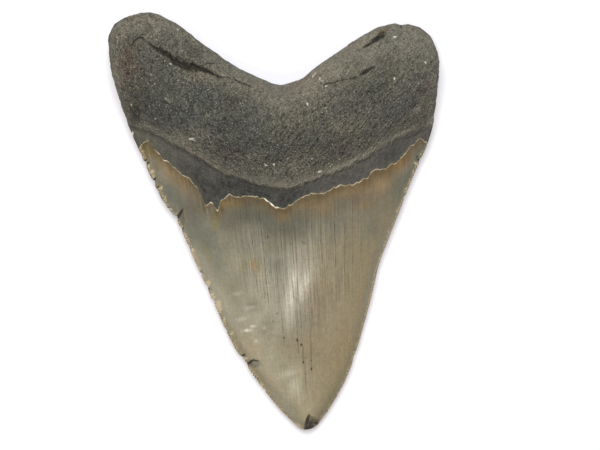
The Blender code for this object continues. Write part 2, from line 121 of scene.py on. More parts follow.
relief = {
    # clefts along the crest, as (x, depth, half width)
    "clefts": [
        [(-38.8, 0.0, 0.25), (-36.5, 0.6, 0.3), (-34.0, 1.1, 0.4), (-31.0, 1.8, 0.6),
         (-28.0, 2.3, 0.9), (-25.0, 2.3, 0.95), (-22.5, 2.1, 0.8), (-20.5, 1.6, 0.55),
         (-19.0, 1.0, 0.35), (-15.5, 0.5, 0.25), (-12.0, 0.3, 0.25), (-9.0, 0.0, 0.25)],
        [(12.5, 0.0, 0.3), (16.0, 0.45, 0.3), (22.0, 0.4, 0.3), (26.0, 0.3, 0.3), (28.0, 0.0, 0.3)],
    ],
    "crumble": 0.4,  # how far the banks of a cleft wander
    "bankAt": 2.0, "bankWidth": 1.4, "bankRise": 0.25,  # the raised bank above a deep cleft
    # dents: centre x, y, half lengths along and across, turn in degrees, depth
    "dents": [
        (34.8, 41.6, 1.1, 0.7, 120, 0.6), (-38.7, 54.1, 1.3, 0.4, 20, 0.6),
        (-40.2, 53.0, 1.1, 0.4, 65, 0.5), (-8.8, 40.0, 2.2, 0.35, 160, 0.5),
        (23.6, 41.6, 1.6, 0.45, 22, 0.8), (26.2, 43.1, 1.4, 0.45, 40, 0.8),
        (32.3, 43.3, 2.4, 0.4, 18, 0.4), (-6.3, 38.9, 1.0, 0.3, 10, 0.35),
        (41.9, 33.2, 6.0, 0.8, 52, -0.5), (43.6, 32.0, 5.5, 0.9, 52, 0.5),
        (30.2, 53.4, 2.6, 0.5, 36, 0.5), (38.2, 26.2, 7.0, 0.7, 24, -0.2),
    ],
    # flaked scars, as outlines of (x, y) and a depth
    "scars": [
        ([(9.0, -61.6), (9.3, -58.8), (10.2, -56.6), (13.1, -58.8), (13.5, -60.1), (11.0, -62.2)], 1.2),
        ([(-8.4, -42.6), (-5.9, -40.4), (-4.4, -40.5), (-3.5, -41.7), (-4.6, -43.2), (-7.0, -43.8)], 0.5),
        ([(-10.2, -39.7), (-8.9, -39.0), (-7.8, -39.2), (-8.5, -39.9), (-9.8, -40.3)], 0.4),
        ([(-28.9, 0.9), (-26.8, 4.1), (-26.0, 0.8), (-26.6, -2.0), (-28.0, -1.0)], 0.6),
        ([(42.1, 21.2), (44.6, 22.0), (45.2, 20.4), (44.2, 18.8), (42.2, 19.3)], 0.3),
    ],
    # a hollow by the top of the right lobe, given in the same way
    "hollow": ([(25.6, 50.6), (30.0, 51.6), (32.9, 53.4), (33.4, 56.0), (31.4, 55.9), (28.3, 53.4)], 2.2),
    # flakes off the cutting edges: x, y, reach along the edge, depth
    "chips": [
        (-29.3, 1.3, 0.9, 0.7), (-27.5, -1.9, 0.6, 0.4), (-32.2, 5.6, 0.5, 0.35),
        (-34.2, 9.4, 0.6, 0.45), (-35.6, 12.0, 0.8, 0.6), (-37.9, 17.6, 0.8, 0.7),
        (-39.2, 20.1, 0.5, 0.35), (-25.0, -7.2, 0.6, 0.45), (-21.8, -15.3, 0.5, 0.3),
        (-20.3, -19.3, 0.8, 0.5), (-18.3, -23.6, 0.6, 0.35), (-14.3, -32.1, 0.5, 0.3),
        (-9.6, -40.6, 1.1, 0.6), (-8.6, -42.4, 0.8, 0.5), (-3.0, -50.0, 0.6, 0.35),
        (43.7, 18.4, 0.7, 0.45), (38.6, 7.4, 0.6, 0.35), (33.9, -3.4, 0.5, 0.25),
        (24.2, -40.0, 1.2, 0.3),
    ],
    "serrations": 111, "serrationDepth": 0.36, "bead": 0.22, "unevenTeeth": 0.8,
    "rootMottle": 0.2, "rootMottleSize": 6.0,  # uneven swell of the root, and its grain
    "rootGrain": 0.15, "rootGrainSize": 1.3,
    "enamelWave": 0.02,
}

mesh = {
    "columns": 208, "underStride": 2,
    "crownStrip": (0.0, 0.32, 0.68, 1.1),  # distances from the rim of the first columns
    "rootStrip": (0.0, 0.03, 0.12, 0.27),
    # steps down the cutting edge, and how many of them lie between rows of each face
    "stepsPerSerration": 4, "stepsPerRow": 2, "stepsPerUnderRow": 12,
    "bourletteRows": 20, "faceRows": 84, "basalRows": 36,
    "foot": 0.18,  # plan width of the enamel's broken step
}


def smoothValue(points, at):
    # a smooth curve through (place, value) points that never swings past them
    place, value = np.array(points, dtype=float).T
    gap = np.diff(place)
    slope = np.diff(value) / gap
    tangent = np.zeros_like(value)
    sameWay = slope[:-1] * slope[1:] > 0
    product = np.where(sameWay, slope[:-1] * slope[1:], 0.0)
    total = np.where(sameWay, slope[:-1] + slope[1:], 1.0)
    tangent[1:-1] = 2.0 * product / total
    tangent[0], tangent[-1] = slope[0], slope[-1]
    at = np.clip(at, place[0], place[-1])
    span = np.clip(np.searchsorted(place, at, side="right") - 1, 0, len(gap) - 1)
    f = (at - place[span]) / gap[span]
    start = (1 + 2 * f) * (1 - f) ** 2 * value[span] + f * (1 - f) ** 2 * gap[span] * tangent[span]
    end = f * f * (3 - 2 * f) * value[span + 1] - f * f * (1 - f) * gap[span] * tangent[span + 1]
    return start + end


def ramp(value, low, high):
    # 0 up to low, 1 from high on, and smooth between
    f = np.clip((value - low) / (high - low), 0.0, 1.0)
    return f * f * (3 - 2 * f)


def rounding(distance, radius):
    # 0 at a margin, rising as a quarter circle to 1 at the radius
    f = np.clip(1.0 - distance / radius, 0.0, 1.0)
    return np.sqrt(1.0 - f * f)


def bump(x, y, centre, spread):
    return np.exp(-(((x - centre[0]) / spread[0]) ** 2) - ((y - centre[1]) / spread[1]) ** 2)


def spot(x, y, centreX, centreY, along, aside, turn):
    # 1 in the middle of a tilted oval, fading to 0 past its rim
    c, s = math.cos(math.radians(turn)), math.sin(math.radians(turn))
    dx, dy = x - centreX, y - centreY
    return np.exp(-(((dx * c + dy * s) / along) ** 2) - ((dy * c - dx * s) / aside) ** 2)


def insideShape(x, y, points, soft):
    # 1 well inside a convex outline, 0 outside it
    area = sum(a[0] * b[1] - a[1] * b[0] for a, b in zip(points, points[1:] + points[:1]))
    nearest = np.full_like(x, 9.0)
    for a, b in zip(points, points[1:] + points[:1]):
        across = (b[0] - a[0]) * (y - a[1]) - (b[1] - a[1]) * (x - a[0])
        nearest = np.minimum(nearest, math.copysign(1.0, area) * across / math.dist(a, b))
    return ramp(nearest, -0.3 * soft, soft)


def noiseLine(values, size, seed):
    return np.array([noise.noise(Vector((v / size, seed, 0.5))) for v in values])


def noiseField(points, size, octaves, seed):
    places = np.asarray(points) / np.asarray(size) + seed
    return np.array([noise.fractal(Vector(p), 0.9, 2.1, octaves) for p in places])


def sidePoint(side, zone, along):
    stations = tooth[side + "Stations"]
    y = stations[zone] + (stations[zone + 1] - stations[zone]) * along
    return np.stack([smoothValue(tooth[side], y), y], axis=-1)


def denseLine(points, number, samples=1600):
    # a line across the tooth as many (x, y) points, from the left side to the right
    zone, along = (number, 0.0) if number < 4 else (3, 1.0)
    ends = [sidePoint(side, zone, np.array(along)) for side in ("left", "right")]
    whole = [tuple(ends[0]), *points, tuple(ends[1])]
    x = np.linspace(ends[0][0], ends[1][0], samples)
    return np.stack([x, smoothValue(whole, x)], axis=1)


def roughen(line, coarse, fine, seed):
    # small uneven steps along a line, that die out at its ends
    x = line[:, 0]
    rough = coarse * noiseLine(x, 1.3, seed) + fine * noiseLine(x, 0.5, seed + 4.0)
    fade = ramp(x, x[0], x[0] + 1.5) * ramp(x, x[-1], x[-1] - 1.5)
    return np.stack([x, line[:, 1] + rough * fade], axis=1)


upperLines = [
    denseLine(tooth[name], number)
    for number, name in enumerate(("tipEdge", "enamelLine", "ridge", "crest", "margin"))
]
underLines = [
    denseLine(tooth[name], number)
    for number, name in enumerate(("tipEdge", "underEnamel", "underNeck", "underCrest", "margin"))
]
brokenLine = roughen(denseLine(tooth["brokenEnamel"], bourlette), coarse=0.5, fine=0.4, seed=3.7)
ridgeLine = roughen(upperLines[rootFace], coarse=0.35, fine=0.12, seed=8.1)
crestLine = roughen(upperLines[basal], coarse=0.6, fine=0.7, seed=5.3)
underBroken = roughen(underLines[bourlette], coarse=0.5, fine=0.2, seed=1.9)
sheets = {
    "upper": {"lines": upperLines, "broken": brokenLine, "ridge": ridgeLine, "crest": crestLine},
    "under": {"lines": underLines, "broken": underBroken, "ridge": None, "crest": None},
}


def lineY(line, x):
    return np.interp(x, line[:, 0], line[:, 1])


def outline():
    steps = np.linspace(0.0, 1.0, 70)
    parts = [upperLines[0][::40], upperLines[4][::8]]
    for zone in range(4):
        parts += [sidePoint(side, zone, steps) for side in ("left", "right")]
    return np.concatenate(parts)


rimPoints = outline()


def distanceTo(x, y, line):
    return np.min(np.hypot(x[:, None] - line[None, :, 0], y[:, None] - line[None, :, 1]), axis=1)


def rowList():
    # (zone, fraction of the zone, level): level 0 is only in the strips at the rim, where the
    # serrations are, 1 is also in the upper face and 2 in both faces
    rows = []
    steps = relief["serrations"] * mesh["stepsPerSerration"]
    for step in range(steps + 1):
        level = 2 if step % mesh["stepsPerUnderRow"] == 0 else 1 if step % mesh["stepsPerRow"] == 0 else 0
        if step in (1, 2, steps - 2, steps - 1):
            level = 2
        rows.append((crown, step / steps, level))
    for zone, count in ((bourlette, mesh["bourletteRows"]), (rootFace, mesh["faceRows"])):
        for step in range(0 if zone == bourlette else 1, count + 1):
            rows.append((zone, step / count, 2 if step % 2 == 0 else 1))
    count = mesh["basalRows"]
    for step in range(1, count + 1):
        f = step / count
        rows.append((basal, 1 - (1 - f) ** 1.6, 2 if step % 2 == 0 else 1))
    return rows


rows = rowList()


def alongAt(zone, fraction, length):
    # the first row above the enamel is at the foot of its broken step
    foot = mesh["foot"] if zone == bourlette else 0.0
    return (foot + fraction * (length - foot)) / length


def acrossAt(zone, fraction, width):
    towardsRoot = 0.0 if zone == crown else fraction if zone == bourlette else 1.0
    strip = np.array(mesh["crownStrip"]) * (1 - towardsRoot)
    strip = (strip + np.array(mesh["rootStrip"]) * towardsRoot) / width
    middle = np.linspace(strip[-1], 1 - strip[-1], mesh["columns"] + 1)
    return np.concatenate([strip[:-1], middle, 1 - strip[-2::-1]])


def lineAt(line, across):
    x = line[0, 0] + (line[-1, 0] - line[0, 0]) * across
    return np.stack([x, lineY(line, x)], axis=1)


def chipPush(point):
    depth = 0.0
    for x, y, reach, amount in relief["chips"]:
        depth += amount * math.exp(-(((point[0] - x) ** 2 + (point[1] - y) ** 2) / reach**2))
    return depth


def serrationAt(fraction, point):
    # 0 in a valley, 1 on a point of the cutting edge, and how deep it is cut there
    seed = 1.7 if point[0] < 7.0 else 9.2
    place = fraction * relief["serrations"]
    place += 0.5 * noise.noise(Vector((place / 1.9, seed, 0.3)))
    profile = math.sin(math.pi * (place % 1.0)) ** 0.8
    wear = 0.85 + 0.6 * noise.noise(Vector((point[0] / 3.0, point[1] / 3.0, seed)))
    wear += relief["unevenTeeth"] * noise.noise(Vector((math.floor(place) * 0.77, seed, 4.1)))
    fade = min(fraction / 0.02, (1 - fraction) / 0.004, 1.0)
    return profile, relief["serrationDepth"] * max(wear, 0.1) * max(fade, 0.0)


def rowPlaces(sheet, zone, fraction):
    # x, y and where each point is across and along its zone, for one row of a face
    lines = sheet["lines"]
    ends = {}
    for side, column in (("left", 0), ("right", -1)):
        length = np.hypot(*(lines[zone + 1][column] - lines[zone][column]))
        ends[side] = sidePoint(side, zone, alongAt(zone, fraction, np.array([length])))[0]
    width = ends["right"][0] - ends["left"][0]
    across = acrossAt(zone, fraction, width)
    low, high = lineAt(lines[zone], across), lineAt(lines[zone + 1], across)
    along = alongAt(zone, fraction, np.hypot(*(high - low).T))[:, None]
    s = across[:, None]
    left, right = sidePoint("left", zone, along[:, 0]), sidePoint("right", zone, along[:, 0])
    corners = (1 - along) * ((1 - s) * low[0] + s * low[-1]) + along * ((1 - s) * high[0] + s * high[-1])
    place = (1 - along) * low + along * high + (1 - s) * left + s * right - corners
    x, y, along = place[:, 0], place[:, 1], along[:, 0]
    # the broken run of each line, which fades out away from it
    for number, name in ((bourlette, "broken"), (rootFace, "ridge"), (basal, "crest")):
        if sheet[name] is None:
            continue
        lineX = lines[number][0, 0] + (lines[number][-1, 0] - lines[number][0, 0]) * across
        off = lineY(sheet[name], lineX) - lineY(lines[number], lineX)
        if zone == number:
            y = y + off * ramp(along, 0.6, 0.0)
        elif zone == number - 1:
            y = y + off * ramp(along, 0.78 if zone == crown else 0.4, 1.0)
    serrated = np.zeros_like(x)
    if zone == crown:
        fromSide = {"left": across * width, "right": (1 - across) * width}
        for side, inward in (("left", 1.0), ("right", -1.0)):
            ahead = sidePoint(side, crown, np.clip(fraction + 0.002, 0, 1))
            ahead = ahead - sidePoint(side, crown, np.clip(fraction - 0.002, 0, 1))
            ahead /= np.hypot(*ahead)
            profile, depth = serrationAt(fraction, ends[side])
            near = np.clip(1 - fromSide[side] / mesh["crownStrip"][-1], 0.0, 1.0)
            far = np.clip(1 - fromSide[side] / 4.0, 0.0, 1.0) ** 2
            room = min(1.0, width / 12.0)
            push = depth * (0.75 - profile) * near + chipPush(ends[side]) * far * room
            x = x + push * inward * ahead[1]
            y = y - push * inward * ahead[0]
            serrated += (profile - 0.5) * near * depth / relief["serrationDepth"]
    return x, y, across, along, width, serrated


def lens(x, y, power):
    # 1 down the middle of the crown, falling to 0 at both cutting edges and at the tip
    left, right = smoothValue(tooth["left"], y), smoothValue(tooth["right"], y)
    offMiddle = np.clip(np.abs(2 * (x - left) / (right - left) - 1), 0.0, 1.0)
    fromTip = y - lineY(upperLines[0], x)
    return (1 - offMiddle**power) * rounding(np.maximum(fromTip, 0.0), tooth["tipRounding"])


def cleftDepth(x, y):
    offCrest = (y - lineY(crestLine, x)) * 0.87
    # the banks crumble
    offCrest += relief["crumble"] * np.sin(3.7 * x + 1.6 * y) * np.sin(1.7 * x - 3.1 * y + 1.0)
    depth, dark = np.zeros_like(x), np.zeros_like(x)
    for points in relief["clefts"]:
        place, depths, widths = np.array(points).T
        deep, half = np.interp(x, place, depths, left=0, right=0), np.interp(x, place, widths)
        bank = np.exp(-(((offCrest - relief["bankAt"]) / relief["bankWidth"]) ** 2)) * ramp(deep, 0.8, 2.0)
        depth += deep * (np.exp(-((offCrest / half) ** 2)) - relief["bankRise"] * bank)
        # painted shade down each cleft, stronger where the cleft is deeper
        dark += np.minimum(deep, 1.2) * np.exp(-(((offCrest - 0.15 * half) / (1.15 * half)) ** 2))
    return depth, dark


def lumps(x, y):
    waves = np.sin(0.33 * x + 1.3) * np.sin(0.29 * y + 0.4)
    waves += 0.6 * np.sin(0.58 * x - 0.21 * y + 2.0) * np.sin(0.17 * x + 0.51 * y)
    return waves / 1.6


def upperHeight(x, y, zone, fraction, along, inside):
    edge = smoothValue(tooth["edgeHeight"], y)
    body = edge + (smoothValue(tooth["crownTop"], y) - edge) * lens(x, y, tooth["crownFall"])
    crestY, marginY = lineY(upperLines[basal], x), lineY(upperLines[4], x)
    root = tooth["rootHeight"] + tooth["bulge"] * bump(x, y, tooth["bulgeCentre"], tooth["bulgeSpread"])
    root -= tooth["lobeTaper"] * ramp(np.abs(x), tooth["lobeFrom"], tooth["lobeTo"])
    root -= tooth["basalDrop"] * ramp(y, crestY, marginY + 1.0)
    root += tooth["lump"] * lumps(x, y)
    root = edge + (root - edge) * rounding(inside, tooth["upperRounding"])
    pastRidge = y - lineY(ridgeLine, x)
    z = body + (root - body) * ramp(pastRidge, 0.0, tooth["neckBlend"])
    offRim = ramp(inside, 0.0, 2.5)
    if zone == crown:
        z += tooth["enamelStep"] * offRim * (0.8 if fraction == 1.0 else 1.0)
    if zone == bourlette:
        z -= tooth["sink"] * np.sin(np.pi * along) * offRim
    z += tooth["ridgeLip"] * offRim * ramp(pastRidge, -0.2, 1.3) * ramp(pastRidge, tooth["stepReach"], 1.3)
    z += tooth["ridgeBead"] * offRim * np.exp(-(((pastRidge - 0.6) / 0.7) ** 2))
    cleft, dark = cleftDepth(x, y)
    dent, scar = np.zeros_like(x), np.zeros_like(x)
    for centreX, centreY, half, aside, turn, depth in relief["dents"]:
        dent += depth * spot(x, y, centreX, centreY, half, aside, turn)
    for points, depth in relief["scars"]:
        inScar = insideShape(x, y, points, 0.5)
        dent += depth * inScar * ramp(inside, -0.2, 0.8)
        scar += min(1.0, depth + 0.3) * inScar
    points, depth = relief["hollow"]
    inHollow = insideShape(x, y, points, 1.6)
    dent += depth * inHollow
    # painted shade: the hollow stays dark only on its side away from the lamp
    dark -= 0.6 * depth * inHollow * ramp(y - 0.55 * x, 38.2, 36.6)
    offRim = 1.0 if zone == crown else offRim
    z = np.maximum(z - (cleft + dent) * offRim, edge + 0.1 * np.minimum(inside, 1.0))
    # the darkness returned is painted shade: in the clefts, and on the root in the dents, scars and hollow
    # in step with their depth
    return z, dark * offRim + (zone > crown) * 0.6 * dent, scar


def underHeight(x, y, zone, fraction, along, inside):
    edge = smoothValue(tooth["edgeHeight"], y)
    body = edge - (edge - smoothValue(tooth["crownUnder"], y)) * lens(x, y, tooth["underRise"])
    offX = (np.abs(x) - tooth["restX"]) / tooth["restReach"]
    offY = (y - tooth["restY"]) / tooth["restReach"]
    root = offX**2 + offY**2 - tooth["restSag"]
    root += tooth["hollow"] * bump(x, y, tooth["hollowCentre"], tooth["hollowSpread"])
    root = edge - (edge - root) * rounding(inside, tooth["underRounding"])
    pastEnamel = y - lineY(underBroken, x)
    z = body + (root - body) * ramp(pastEnamel, 0.0, tooth["neckBlend"])
    if zone > crown:
        z += tooth["underStep"] * ramp(inside, 0.0, 2.5) * ramp(pastEnamel, tooth["stepReach"], 0.0)
    return np.maximum(z, 0.0), np.zeros_like(x), np.zeros_like(x)


def bundleX(x, y):
    # enamel grew in upright bundles, a little aslant, that draw together slowly towards the
    # tip; this is where across the top of the crown the bundle at a point began
    down = 10.0 - y
    return 7.7 + (x - 7.7 - 0.06 * down) / (1 - down / 350.0)


fieldNames = (
    "alongCrown", "bundle", "side", "rim", "enamel", "ridge", "crest", "dark", "scar", "lip", "serrated",
)


def buildGrid(sheet, name):
    # every point of one face, row by row, with its fields
    stripCount = len(mesh["crownStrip"])
    total = mesh["columns"] + 2 * (stripCount - 1) + 1
    stripColumns = np.r_[0:stripCount, total - stripCount:total]
    allColumns = np.arange(total)
    heightRule = upperHeight if name == "upper" else underHeight
    grid = []
    for zone, fraction, level in rows:
        keep = allColumns if level >= (1 if name == "upper" else 2) else stripColumns
        x, y, across, along, width, serrated = (
            v[keep] if isinstance(v, np.ndarray) else v for v in rowPlaces(sheet, zone, fraction)
        )
        inside = distanceTo(x, y, rimPoints)
        z, dark, scar = heightRule(x, y, zone, fraction, along, inside)
        if zone == crown:
            edge = smoothValue(tooth["edgeHeight"], y)
            z += relief["bead"] * serrated * (1 if name == "upper" else -1) * (np.abs(z - edge) > 0.02)
        left, right = smoothValue(tooth["left"], y), smoothValue(tooth["right"], y)
        ridge = y - lineY(ridgeLine, x)
        step = 1.0 if (zone, fraction) in ((crown, 1.0), (bourlette, 0.0)) else 0.0
        fields = {
            "alongCrown": np.full_like(x, fraction if zone == crown else 1.0 + zone),
            "bundle": bundleX(x, y), "side": 2 * (x - left) / (right - left) - 1, "rim": inside,
            "enamel": distanceTo(x, y, sheet["broken"][::4]) * (1 if zone == crown else -1),
            "ridge": ridge if name == "upper" else np.full_like(x, 9.0),
            "crest": y - lineY(upperLines[basal], x),
            "dark": dark, "scar": scar, "serrated": serrated, "lip": np.full_like(x, step),
        }
        grid.append({"columns": keep, "place": np.stack([x, y, z], axis=1), "fields": fields})
    return grid


grids = {name: buildGrid(sheet, name) for name, sheet in sheets.items()}
print("tooth surface worked out:", sum(len(row["columns"]) for row in grids["upper"]), "upper points")


class Skin:
    # points, their fields and the faces, as the two sides of the tooth are put together

    def __init__(self):
        self.places, self.faces, self.zones, self.isUpper = [], [], [], []
        self.fields = {name: [] for name in fieldNames}
        self.upperPoint = []

    def addPoint(self, row, index, upper, place=None):
        self.places.append(tuple(row["place"][index] if place is None else place))
        for name in fieldNames:
            self.fields[name].append(row["fields"][name][index])
        self.upperPoint.append(upper)
        return len(self.places) - 1

    def addFace(self, corners, zone, upper):
        self.faces.append(tuple(corners) if upper else tuple(reversed(corners)))
        self.zones.append(zone)
        self.isUpper.append(upper)


def addRim(skin, grid):
    # the points that both faces share, all round the tooth
    last = len(grid) - 1
    rim = {}
    for r, row in enumerate(grid):
        columns = row["columns"]
        chosen = range(len(columns)) if r in (0, last) else (0, len(columns) - 1)
        for index in chosen:
            x, y, z = row["place"][index]
            edge = float(smoothValue(tooth["edgeHeight"], y))
            rim[r, int(columns[index])] = skin.addPoint(row, index, True, (x, y, edge))
    return rim


def addSheet(skin, grid, rim, upper):
    last, total = len(grid) - 1, int(grid[0]["columns"][-1])
    strip = len(mesh["crownStrip"]) - 1
    stride = 1 if upper else mesh["underStride"]
    ids = dict(rim)
    for r in range(1, last):
        row = grid[r]
        for index, column in enumerate(row["columns"]):
            column = int(column)
            inMiddle = strip < column < total - strip
            if (r, column) in ids or inMiddle and (column - strip) % stride:
                continue
            ids[r, column] = skin.addPoint(row, index, upper)
    # the enamel's broken step is enamel still
    zoneOf = [crown if (zone, fraction) == (bourlette, 0.0) else zone for zone, fraction, level in rows]
    for r in range(last):
        for first in (0, total - strip):
            for c in range(first, first + strip):
                corners = [ids[r, c], ids[r, c + 1], ids[r + 1, c + 1], ids[r + 1, c]]
                if r in (0, last - 1) and c in (0, total - 1):
                    # a corner cell is cut so that neither half lies wholly on the rim
                    turn = 0 if (r == 0) == (c == 0) else 1
                    corners = corners[turn:] + corners[:turn]
                    skin.addFace(corners[:3], zoneOf[r + 1], upper)
                    skin.addFace([corners[2], corners[3], corners[0]], zoneOf[r + 1], upper)
                else:
                    skin.addFace(corners, zoneOf[r + 1], upper)
    mainRows = [r for r in range(last + 1) if rows[r][2] >= (1 if upper else 2)]
    mainColumns = list(range(strip, total - strip + 1, stride))
    for low, high in zip(mainRows[:-1], mainRows[1:]):
        for left, right in zip(mainColumns[:-1], mainColumns[1:]):
            ring = [(low, left), (low, right), (high, right), (high, left)]
            sides = [
                [(low, c) for c in range(left, right + 1)] if low == 0 else [],
                [(r, right) for r in range(low, high + 1)] if right == total - strip else [],
                [(high, c) for c in range(right, left - 1, -1)] if high == last else [],
                [(r, left) for r in range(high, low - 1, -1)] if left == strip else [],
            ]
            if max(len(side) for side in sides) <= 2:
                skin.addFace([ids[corner] for corner in ring], zoneOf[high], upper)
                continue
            side = next(n for n in range(4) if sides[n] and not sides[n - 1])
            chain = []
            while sides[side % 4]:
                chain = chain[:-1] + sides[side % 4]
                side += 1
            inner = [ring[(side + n) % 4] for n in (1, 2, 3) if ring[(side + n) % 4] not in chain]
            half = len(chain) // 2 if len(inner) == 2 else 0
            for step in range(len(chain) - 1):
                apex = inner[-1] if step < half else inner[0]
                fan = (chain[step], chain[step + 1], apex)
                skin.addFace([ids[corner] for corner in fan], zoneOf[high], upper)
            if len(inner) == 2:
                fan = (chain[half], inner[0], inner[1])
                skin.addFace([ids[corner] for corner in fan], zoneOf[high], upper)


skin = Skin()
rim = addRim(skin, grids["upper"])
addSheet(skin, grids["upper"], rim, upper=True)
addSheet(skin, grids["under"], rim, upper=False)
print("tooth surface joined:", len(skin.places), "points,", len(skin.faces), "faces")

